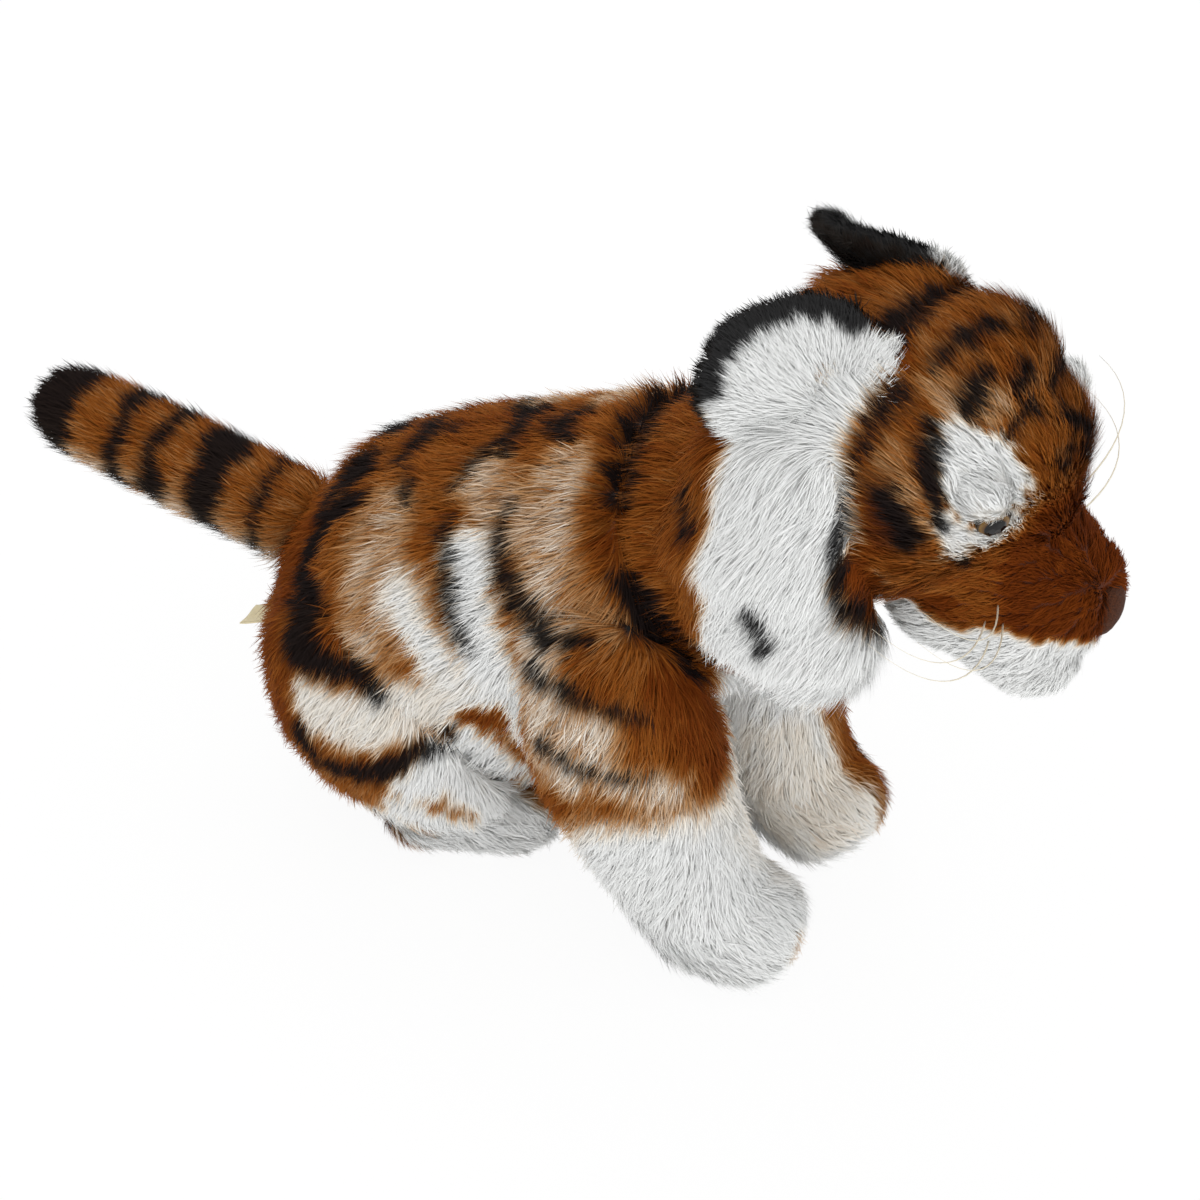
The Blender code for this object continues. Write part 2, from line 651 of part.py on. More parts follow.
def build_ruffs(shop, matrix, skull_room, muzzle_room, rooms):
    ruff = Form(RUFF_PLACES, RUFF_HALF_WIDTHS, RUFF_HALF_DEPTHS, RUFF_CAPS)
    forms = []
    for side, word in ((1, "left"), (-1, "right")):
        form = ruff.on_side(side).moved(matrix)
        mesh = solid_mesh(form, 0, LIMB_DETAIL)
        piece = shop.piece(f"cheek_ruff_{word}", mesh, "white_plush", "head_joint")
        cut(piece, (skull_room, muzzle_room, *rooms))
        forms.append(form)
    return forms


def build_ears(shop, matrix, skull, ruffs):
    walls = [EAR_WALL / 2] * len(EAR_PLACE_SHARES)
    for side, word, ruff in ((1, "left", ruffs[0]), (-1, "right", ruffs[1])):
        up = place_on(side, EAR_UP).normalized()
        facing = place_on(side, EAR_FACING)
        facing = (facing - up * facing.dot(up)).normalized()
        across = facing.cross(up)
        places = [place_on(side, EAR_PLACE) + up * (EAR_HEIGHT * share) for share in EAR_PLACE_SHARES]
        half_widths = [EAR_HALF_WIDTH * share for share in EAR_WIDTH_SHARES]
        back = Form(places, half_widths, walls, (STUB_CAP, EAR_TIP_CAP), across, EAR_CUP)
        lining_places = [place + facing * (EAR_WALL + CLEARANCE) for place in places]
        lining_widths = [width * EAR_LINING_SHARE for width in half_widths]
        lining_caps = (STUB_CAP, EAR_TIP_CAP * EAR_LINING_SHARE)
        lining_cup = EAR_CUP * EAR_LINING_SHARE ** 2
        lining = Form(lining_places, lining_widths, walls, lining_caps, across, lining_cup)
        joint = f"ear_joint_{word}"
        pivot = matrix @ place_on(side, EAR_PLACE)
        shop.carrier(joint, pivot)
        turns = turns_about(matrix.to_3x3() @ -across, -EAR_FLEX_IN, EAR_FLEX_OUT, SWEEP_STEPS)
        beside_skull = sweep_mesh(grown_points(skull, SKULL_DETAIL), pivot, turns)
        beside_ruff = sweep_mesh(grown_points(ruff, LIMB_DETAIL), pivot, turns)
        rooms = (shop.cutter(f"skull_for_ear_{word}", beside_skull),
                 shop.cutter(f"ruff_for_ear_{word}", beside_ruff))
        for name, form, material in (("ear_back", back, "black_plush"),
                                     ("ear_lining", lining, "white_plush")):
            mesh = solid_mesh(form.moved(matrix), 0, EAR_DETAIL)
            cut(shop.piece(f"{name}_{word}", mesh, material, joint), rooms)


def build_face(shop, matrix, muzzle, muzzle_room):
    place, out = muzzle.surface(NOSE_ALONG_SHARE, math.pi / 2)
    across = matrix.to_3x3() @ Vector((1, 0, 0))
    mesh = bmesh.new()
    turn = Matrix((across, out.cross(across), out)).transposed().to_4x4()
    scale = Matrix.Diagonal((NOSE_HALF_WIDTH, NOSE_HALF_HEIGHT, NOSE_HALF_DEPTH, 1))
    bmesh.ops.create_uvsphere(mesh, u_segments=ROUND_SIDES, v_segments=ROUND_SIDES, radius=1,
                              matrix=Matrix.Translation(place) @ turn @ scale)
    nose = shop.piece("nose", mesh, "nose_cloth", "head_joint")
    cut(nose, (muzzle_room,))
    back = matrix.to_3x3() @ Vector((0, 1, 0))
    for side, word in ((1, "left"), (-1, "right")):
        for number, root_share in enumerate(WHISKER_ROOT_SHARES):
            turn = WHISKER_TURNS[number]
            root, away = muzzle.surface(root_share, turn if side > 0 else math.pi - turn, -SKIN / 2)
            line = []
            for step in range(WHISKER_STEPS + 1):
                share = step / WHISKER_STEPS
                aside = WHISKER_LENGTH * WHISKER_OUT_SHARES[number] * math.sin(share * math.pi / 2)
                behind = WHISKER_LENGTH * WHISKER_BACK_SHARES[number] * share ** 2
                line.append(root + away * aside + back * behind)
            mesh = thread_mesh(line, WHISKER_RADIUS, WHISKER_SIDES)
            whisker = shop.piece(f"whisker_{word}_{number + 1}", mesh, "whisker_nylon", "head_joint")
            cut(whisker, (muzzle_room,))


def build_front_legs(shop, trunk, neck, floor):
    leg = Form(FRONT_PLACES, FRONT_HALF_WIDTHS, FRONT_HALF_DEPTHS, FRONT_CAPS)
    turns = turns_about("X", -FRONT_SWING_AHEAD, FRONT_SWING_BACK, SWEEP_STEPS)
    points = grown_points(trunk, TRUNK_DETAIL)
    points += ball_points(neck, ball_room(NECK_RADIUS) + SWEEP_MARGIN)
    room = shop.cutter("trunk_for_front_leg", sweep_mesh(points, place_on(0, SHOULDER), turns))
    for side, word in ((1, "left"), (-1, "right")):
        joint = f"front_leg_joint_{word}"
        shop.carrier(joint, place_on(side, SHOULDER))
        form = leg.on_side(side)
        upper = skin_mesh(form, LIMB_DETAIL, (False, True), (0, FRONT_SEAM_SHARE), (0, CLEARANCE))
        skin = shop.piece(f"front_leg_skin_{word}", upper, "orange_plush", joint)
        cut(skin, (room,))
        lower = skin_mesh(form, LIMB_DETAIL, (True, False), (FRONT_SEAM_SHARE, 1))
        paw = shop.piece(f"front_paw_{word}", lower, "white_plush", joint)
        cut(paw, (floor,))
        core = solid_mesh(form, -SKIN - CLEARANCE, LIMB_DETAIL, (0, FRONT_SEAM_SHARE, 1))
        stuffing = shop.piece(f"front_leg_stuffing_{word}", core, "fibre_stuffing", joint)
        cut(stuffing, (room,))


def build_hind_legs(shop, trunk, floor):
    thigh = Form(THIGH_PLACES, THIGH_HALF_WIDTHS, THIGH_HALF_DEPTHS, THIGH_CAPS)
    foot = Form(FOOT_PLACES, FOOT_HALF_WIDTHS, FOOT_HALF_DEPTHS, FOOT_CAPS)
    turns = turns_about("X", -HIND_LIFT, 0, SWEEP_STEPS)
    beside = sweep_mesh(grown_points(trunk, TRUNK_DETAIL), place_on(0, HIP), turns)
    room = shop.cutter("trunk_for_hind_leg", beside)
    for side, word in ((1, "left"), (-1, "right")):
        joint = f"hind_leg_joint_{word}"
        shop.carrier(joint, place_on(side, HIP))
        thigh_form = thigh.on_side(side)
        foot_form = foot.on_side(side)
        thigh_room = shop.cutter(f"thigh_room_{word}", solid_mesh(thigh_form, CLEARANCE, LIMB_DETAIL))
        foot_hole = shop.cutter(f"foot_hole_{word}", solid_mesh(foot_form, -SKIN, LIMB_DETAIL))
        foot_core = shop.cutter(f"foot_core_{word}", solid_mesh(foot_form, -SKIN - CLEARANCE, LIMB_DETAIL))
        bowl = skin_mesh(thigh_form, LIMB_DETAIL, (False, False))
        skin = shop.piece(f"thigh_skin_{word}", bowl, "orange_plush", joint)
        cut(skin, (room, foot_hole))
        shoe = skin_mesh(foot_form, LIMB_DETAIL, (False, False))
        cover = shop.piece(f"hind_foot_{word}", shoe, "white_plush", joint)
        cut(cover, (thigh_room, floor, room))
        core = solid_mesh(thigh_form, -SKIN - CLEARANCE, LIMB_DETAIL)
        stuffing = shop.piece(f"hind_leg_stuffing_{word}", core, "fibre_stuffing", joint)
        cut(stuffing, (foot_core,), "UNION")
        cut(stuffing, (room,))


def build_tail(shop, trunk):
    tail = Form(TAIL_PLACES, TAIL_HALF_WIDTHS, TAIL_HALF_WIDTHS, (STUB_CAP, TAIL_CAP))
    rooms = turned_solids(shop, "trunk_for_tail", trunk, TRUNK_DETAIL, TAIL_ROOT,
                          turns_about("Z", -TAIL_WAG, TAIL_WAG, TAIL_STEPS))
    shop.carrier("tail_joint", TAIL_ROOT)
    sleeve = skin_mesh(tail, TAIL_DETAIL, (True, True), (0, TAIL_SEAM_SHARE), (0, CLEARANCE))
    skin = shop.piece("tail_skin", sleeve, "orange_plush", "tail_joint")
    cut(skin, rooms)
    tip = skin_mesh(tail, TIP_DETAIL, (True, False), (TAIL_SEAM_SHARE, 1))
    shop.piece("tail_tip", tip, "black_plush", "tail_joint")
    core = solid_mesh(tail, -SKIN - CLEARANCE, TAIL_DETAIL, (0, TAIL_SEAM_SHARE, 1))
    stuffing = shop.piece("tail_stuffing", core, "fibre_stuffing", "tail_joint")
    cut(stuffing, rooms)


def build_label(shop, trunk):
    size = Vector((LABEL_WIDTH, LABEL_LENGTH, LABEL_THICKNESS))
    mesh = box_mesh(-size / 2, size / 2)
    turn = Matrix.Rotation(-LABEL_TILT, 4, "X")
    bmesh.ops.transform(mesh, matrix=Matrix.Translation(LABEL_PLACE) @ turn, verts=mesh.verts)
    label = shop.piece("label", mesh, "label_satin")
    room = shop.cutter("label_seat", solid_mesh(trunk, CLEARANCE, TRUNK_DETAIL))
    cut(label, (room,))


def main():
    for obj in list(bpy.data.objects):
        bpy.data.objects.remove(obj, do_unlink=True)
    shop = Shop()
    for name, (colour, roughness) in MATERIALS.items():
        shop.materials[name] = make_material(name, colour, roughness)
    trunk, neck, neck_ahead = trunk_form()
    floor = build_trunk(shop, trunk, neck)
    build_neck(shop, neck, neck_ahead)
    matrix = head_matrix(neck)
    skull, muzzle = head_forms(matrix)
    rooms = head_rooms(shop, trunk, neck)
    skull_room = build_head(shop, matrix, skull, muzzle, rooms)
    muzzle_room = shop.cutter("muzzle_room", solid_mesh(muzzle, CLEARANCE, SMALL_DETAIL))
    ruffs = build_ruffs(shop, matrix, skull_room, muzzle_room, rooms)
    build_ears(shop, matrix, skull, ruffs)
    build_face(shop, matrix, muzzle, muzzle_room)
    build_front_legs(shop, trunk, neck, floor)
    build_hind_legs(shop, trunk, floor)
    build_tail(shop, trunk)
    build_label(shop, trunk)
    bpy.context.view_layer.update()


main()
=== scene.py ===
# %% [markdown]
# # A sitting plush tiger
# The toy is sewn from long plush over soft stuffing and moves at its sewn joints. Its
# form could all be modelled here, but then it wouldn't fit those joints. So the packed
# model is the frame: its bodies, nodes and joints stay where they are, every soft solid
# gets a padded hide, and fur grows on the hides.

# %% Load the frame
import math

import bmesh
import bpy
import numpy as np
from mathutils import Matrix, Vector
from mathutils.bvhtree import BVHTree


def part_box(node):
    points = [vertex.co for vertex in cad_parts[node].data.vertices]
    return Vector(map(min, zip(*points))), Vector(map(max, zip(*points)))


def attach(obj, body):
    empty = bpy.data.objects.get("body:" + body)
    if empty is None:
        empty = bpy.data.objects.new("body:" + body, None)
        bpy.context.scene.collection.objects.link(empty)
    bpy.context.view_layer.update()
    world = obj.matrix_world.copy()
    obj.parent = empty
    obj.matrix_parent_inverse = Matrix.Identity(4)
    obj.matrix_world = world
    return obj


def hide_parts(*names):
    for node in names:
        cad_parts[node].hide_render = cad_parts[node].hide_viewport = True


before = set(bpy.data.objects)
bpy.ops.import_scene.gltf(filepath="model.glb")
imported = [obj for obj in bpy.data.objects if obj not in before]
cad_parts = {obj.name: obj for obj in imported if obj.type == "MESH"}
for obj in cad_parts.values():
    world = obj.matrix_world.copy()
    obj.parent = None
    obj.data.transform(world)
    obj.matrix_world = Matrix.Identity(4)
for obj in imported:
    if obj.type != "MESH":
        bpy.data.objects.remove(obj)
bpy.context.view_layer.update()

# %% [markdown]
# ## Camera
# The photograph looks down on the toy's right side, through a long lens from well away.
# A camera can be placed by eye, but a turn, a rise and a distance are easier to match.

# %% Camera
CAMERA_TURN, CAMERA_RISE = math.radians(-62), math.radians(42)
CAMERA_TARGET = Vector((0, -0.075, 0.120))
CAMERA_DISTANCE, CAMERA_LENS = 1.15, 95
scene = bpy.context.scene
scene.view_settings.view_transform = "Standard"


def add_object(name, data):
    obj = bpy.data.objects.new(name, data)
    scene.collection.objects.link(obj)
    return obj


def aim(obj, place, back):
    """Put a camera or a lamp at a place, with its back to a direction."""
    obj.location = place
    obj.rotation_euler = back.to_track_quat("Z", "Y").to_euler()


back = Vector((math.sin(CAMERA_TURN) * math.cos(CAMERA_RISE),
               -math.cos(CAMERA_TURN) * math.cos(CAMERA_RISE), math.sin(CAMERA_RISE)))
camera_data = bpy.data.cameras.new("camera")
camera_data.lens = CAMERA_LENS
camera = add_object("camera", camera_data)
aim(camera, CAMERA_TARGET + back * CAMERA_DISTANCE, back)
scene.camera = camera
print("camera at", tuple(camera.location))

# %% [markdown]
# ## Helpers for nodes
# Materials and fur are trees of nodes. They could be joined by hand in an editor, but a
# script can be run again. Each helper adds one node, feeds it and gives back its output.

# %% Node helpers
def wire(tree, pairs):
    for output, socket in pairs:
        tree.links.new(output, socket)


def feed(tree, socket, value):
    """Wire an output into a socket, or set a plain value there."""
    if hasattr(value, "links"):
        tree.links.new(value, socket)
    else:
        socket.default_value = value


def math_node(tree, operation, *values):
    node = tree.nodes.new("ShaderNodeMath")
    node.operation = operation
    for socket, value in zip(node.inputs, values):
        feed(tree, socket, value)
    return node.outputs[0]


def vector_node(tree, operation, *values):
    node = tree.nodes.new("ShaderNodeVectorMath")
    node.operation = operation
    for number, value in enumerate(values):
        feed(tree, node.inputs["Scale" if operation == "SCALE" and number == 1 else number], value)
    return node.outputs["Value"] if operation == "LENGTH" else node.outputs[0]


def new_material(name, roughness, specular=0.5):
    material = bpy.data.materials.new(name)
    material.use_nodes = True
    shader = material.node_tree.nodes["Principled BSDF"]
    shader.inputs["Roughness"].default_value = roughness
    shader.inputs["Specular IOR Level"].default_value = specular
    return material, material.node_tree, shader


print("node helpers are ready")

# %% [markdown]
# ## Floor, world and lamps
# A product is photographed on white paper between soft boxes. A modelled studio would
# show in the eyes, so a plane, a white world and four area lamps are enough. The floor
# glows where it is seen, as brightly lit paper does, and is plain white for other light.

# %% Floor
FLOOR_REACH, FLOOR_GLOW = 4, 0.94
floor_mesh = bpy.data.meshes.new("floor")
corners = [(x * FLOOR_REACH, y * FLOOR_REACH, 0) for x, y in ((-1, -1), (1, -1), (1, 1), (-1, 1))]
floor_mesh.from_pydata(corners, [], [(0, 1, 2, 3)])
floor = add_object("floor", floor_mesh)
material, tree, shader = new_material("floor_white", 0.9, 0.1)
shader.inputs["Base Color"].default_value = (0.93, 0.93, 0.93, 1)
glow = tree.nodes.new("ShaderNodeEmission")
glow.inputs["Color"].default_value = (1, 1, 1, 1)
seen = tree.nodes.new("ShaderNodeLightPath").outputs
mixer = tree.nodes.new("ShaderNodeMixShader")
mirrored = math_node(tree, "MAXIMUM", seen["Is Glossy Ray"], seen["Is Transmission Ray"])
shown = math_node(tree, "MAXIMUM", seen["Is Camera Ray"], mirrored)
wire(tree, [(math_node(tree, "MULTIPLY", shown, FLOOR_GLOW), mixer.inputs[0]),
            (shader.outputs[0], mixer.inputs[1]), (glow.outputs[0], mixer.inputs[2]),
            (mixer.outputs[0], tree.nodes["Material Output"].inputs["Surface"])])
floor_mesh.materials.append(material)
print("floor of", 2 * FLOOR_REACH, "m")

# %% World and lamps
LAMP_TARGET = Vector((0, -0.06, 0.12))
LAMPS = {  # name: (place, size, power)
    "key": ((-0.5, -0.5, 1.7), 1.6, 4.2),
    "fill": ((-1.3, -0.9, 0.9), 1.2, 2.0),
    "rim": ((0.8, 0.6, 1.2), 0.8, 5.0),
    "low": ((-1.0, -1.0, 0.30), 1.2, 4.5),
}
world = bpy.data.worlds.new("studio")
world.use_nodes = True
sky = world.node_tree.nodes["Background"].inputs
sky["Color"].default_value, sky["Strength"].default_value = (1, 1, 1, 1), 0.94
scene.world = world
for name, (place, size, power) in LAMPS.items():
    lamp_data = bpy.data.lights.new(name, "AREA")
    lamp_data.size, lamp_data.energy = size, power
    aim(add_object(name, lamp_data), place, Vector(place) - LAMP_TARGET)
print("world and", len(LAMPS), "lamps")

# %% [markdown]
# ## Hides
# A plush toy is sewn from cut pieces and stuffed, so it is round between its seams. The
# pieces could be sewn and blown up as simulated cloth. Here a hide is a voxel remesh of
# the CAD's skins and stuffing, a little smoothed. It closes the seams and fits the frame.

# %% Table of the hides
HIDES = {  # name: (body, skins that it replaces, stuffing inside, voxel, smoothing rounds)
    "hide_torso": ("torso", ("body_skin", "belly_panel"), ("body_stuffing",), 0.0024, 8),
    "hide_neck": ("neck", ("neck_skin",), ("neck_stuffing",), 0.003, 4),
    "hide_head": ("head", ("head_skin", "muzzle_cover", "chin_cover", "cheek_ruff_left", "cheek_ruff_right"),
                  ("head_stuffing",), 0.0022, 6),
    "hide_tail": ("tail", ("tail_skin", "tail_tip"), ("tail_stuffing",), 0.0020, 4),
}
for word in ("left", "right"):
    HIDES[f"hide_ear_{word}"] = (f"ear_{word}", (f"ear_back_{word}", f"ear_lining_{word}"), (), 0.0015, 3)
    HIDES[f"hide_front_leg_{word}"] = (f"front_leg_{word}", (f"front_leg_skin_{word}", f"front_paw_{word}"),
                                       (f"front_leg_stuffing_{word}",), 0.0022, 6)
    HIDES[f"hide_hind_leg_{word}"] = (f"hind_leg_{word}", (f"thigh_skin_{word}", f"hind_foot_{word}"),
                                      (f"hind_leg_stuffing_{word}",), 0.0022, 6)
print(len(HIDES), "hides to make")

# %% [markdown]
# The stuffing pushes the face out at the muzzle, the brow, the crown and the lids.
# Sculpting could show it. Oval balls that are remeshed with the skins blend in by
# themselves and are easy to move.

# %% Added balls
PUFFS = {  # hide: rows of centre and radii in millimetres, each with its mirror image
    "hide_head": (((-5, -238, 203), (22, 21, 14)), ((-8, -250, 197), (13, 14, 16)),
                  ((-17, -240, 190), (14, 17, 15)), ((-9, -240, 177), (16, 18, 16)),
                  ((-12, -214, 190), (20, 22, 15)),
                  ((-27, -212, 255), (11, 11, 11)), ((-32, -228.5, 253), (9, 8, 6)),
                  ((-10, -184, 261), (28, 29, 30)),
                  ((0, -222, 251), (29, 25, 25)), ((0, -210, 262), (32, 27, 31)),
                  ((-4, -236, 232), (14, 11, 13))),
}
print(len(PUFFS["hide_head"]), "balls on each side of the head")

# %% Make the hides
FLOOR_GAP = 0.0002


def mesh_from(shape, name):
    mesh = bpy.data.meshes.new(name)
    shape.to_mesh(mesh)
    shape.free()
    return mesh


def plain_mesh(obj, name):
    """Put an object's modifiers into a plain mesh of its own."""
    bpy.context.view_layer.update()
    graph = bpy.context.evaluated_depsgraph_get()
    mesh = bpy.data.meshes.new_from_object(obj.evaluated_get(graph), preserve_all_data_layers=True,
                                           depsgraph=graph)
    mesh.name = name
    obj.modifiers.clear()
    obj.data = mesh
    return mesh


def make_hide(name, nodes, voxel, rounds):
    joined = bmesh.new()
    for node in nodes:
        joined.from_mesh(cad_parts[node].data)
    for centre, radii in PUFFS.get(name, ()):
        for side in (1, -1):
            puff = Matrix.Translation(Vector((centre[0] * side, centre[1], centre[2])) / 1000)
            puff @= Matrix.Diagonal((*(Vector(radii) / 1000), 1))
            bmesh.ops.create_icosphere(joined, subdivisions=3, radius=1, matrix=puff)
    obj = add_object(name, mesh_from(joined, name))
    remesh = obj.modifiers.new("remesh", "REMESH")
    remesh.mode, remesh.voxel_size = "VOXEL", voxel
    relax = obj.modifiers.new("relax", "SMOOTH")
    relax.factor, relax.iterations = 0.5, rounds
    mesh = plain_mesh(obj, name)
    mesh.shade_smooth()
    for vertex in mesh.vertices:
        vertex.co.z = max(vertex.co.z, FLOOR_GAP)
    return obj


hides = {}
for name, (body, skins, fill, voxel, rounds) in HIDES.items():
    hides[name] = make_hide(name, (*skins, *fill), voxel, rounds)
    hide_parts(*skins)
    print(name, len(hides[name].data.vertices), "points")

# %% [markdown]
# ## The coat
# On the toy each colour is a plush of its own or is sprayed on. An image could be painted,
# but its edges would show. Here two numbers say the colour at a point of a hide. Coat runs
# from white through beige and gold to rust, and ink is how black the tips are. Marks are
# strokes, placed from the photograph and mirrored to the other side.

# %% Dark marks
# Each stroke: value, half width at its start and end and softness in millimetres, points in
# millimetres, and 1 or -1 where it stays on one side. With 1 it lies where it is written.
INK = {"body": [
    (1, 5.5, 2.0, 3, [(-12, 17, 160), (-19, 23, 149), (-27, 33, 138)]),
    (0.7, 2.5, 2.0, 3, [(4, 58, 127), (-5, 57, 127)]),
    (1, 2.6, 2.4, 3, [(4, 0, 172), (12, 0, 168)]),
    (0.9, 1.6, 1.6, 3, [(2, -15, 181), (-5, -5, 172), (-16, -4, 169), (-25, -8, 169), (-33, -15, 167)]),
    (1, 2.8, 1.4, 3, [(14, -44, 192), (0, -44, 192), (-9, -39, 188), (-20, -33, 183), (-30, -31, 177)]),
    (1, 3.0, 3.0, 3, [(-4, -58, 199), (8, -64, 201)]),
    (0.95, 2.2, 1.6, 3, [(6, -90, 214), (-5, -92, 213), (-15, -95, 210), (-28, -97, 206), (-35, -97, 201)]),
    (1, 2.2, 2.4, 3, [(-60, -135, 237), (-66, -143, 230), (-62, -134, 215)]),
    (0.9, 2.0, 1.8, 2, [(-19, 54, 112), (-24, 55, 98)]),
    (1, 2.4, 4.4, 3, [(-28, 8, 157), (-29, 19, 146), (-32, 27, 131), (-39, 29, 117)]),
    (1, 4.0, 5.0, 2, [(-39, 29, 117), (-48, 18, 120), (-55, 18, 112), (-61, 19, 102)]),
    (1, 5.4, 2.2, 2, [(-61, 19, 102), (-62, 1, 104), (-60, -9, 106), (-62, -19, 100)]),
    (1, 3.2, 2.8, 2, [(-62, 14, 68), (-66, 10, 56), (-69, -5, 60), (-69, -22, 68), (-66, -32, 78),
                        (-61, -45, 90)]),
    (1, 2.2, 3.0, 2, [(-40, -36, 172), (-48, -39, 165), (-55, -44, 156)]),
    (1, 3.0, 2.4, 2, [(-55, -44, 156), (-59, -47, 149), (-61, -54, 138)]),
    (1, 1.4, 3.8, 2, [(-35, -58, 186), (-45, -59, 179), (-50, -62, 173), (-57, -71, 167)]),
    (1, 3.8, 2.8, 2, [(-57, -71, 167), (-59, -81, 162), (-64, -92, 160)]),
    (0.95, 2.2, 1.4, 3, [(-64, -92, 160), (-66, -97, 165), (-65, -108, 166)]),
    (1, 1.2, 2.8, 2, [(-51, -104, 185), (-51, -111, 181), (-50, -120, 173)]),
    (1, 2.8, 1.2, 2, [(-50, -120, 173), (-48, -134, 161), (-41, -144, 151)]),
    (1, 2.8, 1.2, 2, [(-72, -86, 148), (-76, -103, 148), (-75, -114, 146), (-74, -122, 145),
                        (-69, -131, 143)]),
    (1, 2.6, 1.2, 2, [(-76, -94, 121), (-81, -109, 120), (-79, -118, 119), (-73, -133, 119)]),
], "head": [
    (1, 3.4, 3.8, 2, [(-24, -189, 294), (-16, -186, 294), (-5, -188, 293), (5, -191, 293),
                        (13, -196, 291)], 1),
    (1, 3.0, 2.4, 2, [(13, -196, 291), (21, -205, 290)], 1),
    (1, 2.0, 3.0, 2, [(-20, -203, 288), (-15, -207, 292), (-9, -211, 294), (-2, -215, 295)], 1),
    (1, 2.4, 2.6, 2, [(6, -222, 290), (14, -219, 290)], 1),
    (1, 3.0, 2.8, 2, [(-26, -218, 282), (-23, -218, 286), (-19, -219, 289)]),
    (1, 3.0, 2.6, 2, [(-13, -229, 285), (-7, -228, 288)], 1),
    (1, 2.8, 2.8, 2, [(0, -236, 280), (9, -234, 281)], 1),
    (1, 1.8, 2.4, 2, [(-22, -231, 273), (-17, -233, 278), (-12, -235, 277)]),
    (1, 2.2, 2.4, 2, [(-4, -241, 273), (-2, -245, 268), (6, -249, 260)], 1),
    (1, 2.2, 2.2, 2, [(-13, -246, 260), (-8, -248, 262)], 1),
    (1, 1.8, 1.8, 2, [(-4, -249, 257), (2, -251, 255)], 1),
    (1, 2.8, 3.2, 2, [(-34, -208, 278), (-40, -211, 271), (-45, -215, 262)]),
    (1, 3.0, 1.6, 2, [(-45, -215, 262), (-47, -219, 256), (-48, -221, 248)]),
    (0.85, 1.8, 1.8, 3, [(-30, -198, 282), (-38, -195, 276)]),
    (1, 1.6, 2.4, 2, [(-29, -195, 286), (-36, -192, 279), (-42, -190, 271), (-51, -190, 259),
                        (-60, -191, 243)]),
    (1, 2.6, 2.6, 2, [(-60, -191, 243), (-65, -193, 228), (-60, -199, 213), (-47, -206, 201)]),
    (0.95, 2.8, 3.6, 3, [(-53, -203, 258), (-53, -209, 252), (-53, -212, 243)]),
    (0.40, 4, 6, 6, [(-50, -198, 263), (-56, -204, 245)]),
    (0.9, 2.2, 2.2, 2, [(-43, -228, 232), (-42, -228, 231)]),
    (0.9, 0.8, 0.8, 1, [(-25, -249, 181), (-25, -248, 181)]),
    (1, 2.6, 3.0, 3, [(-72, -167, 209), (-70, -171, 194)]),
    (1, 2.4, 2.8, 3, [(-60, -135, 237), (-66, -142, 230)]),
]}
print(sum(len(rows) for rows in INK.values()), "dark marks")

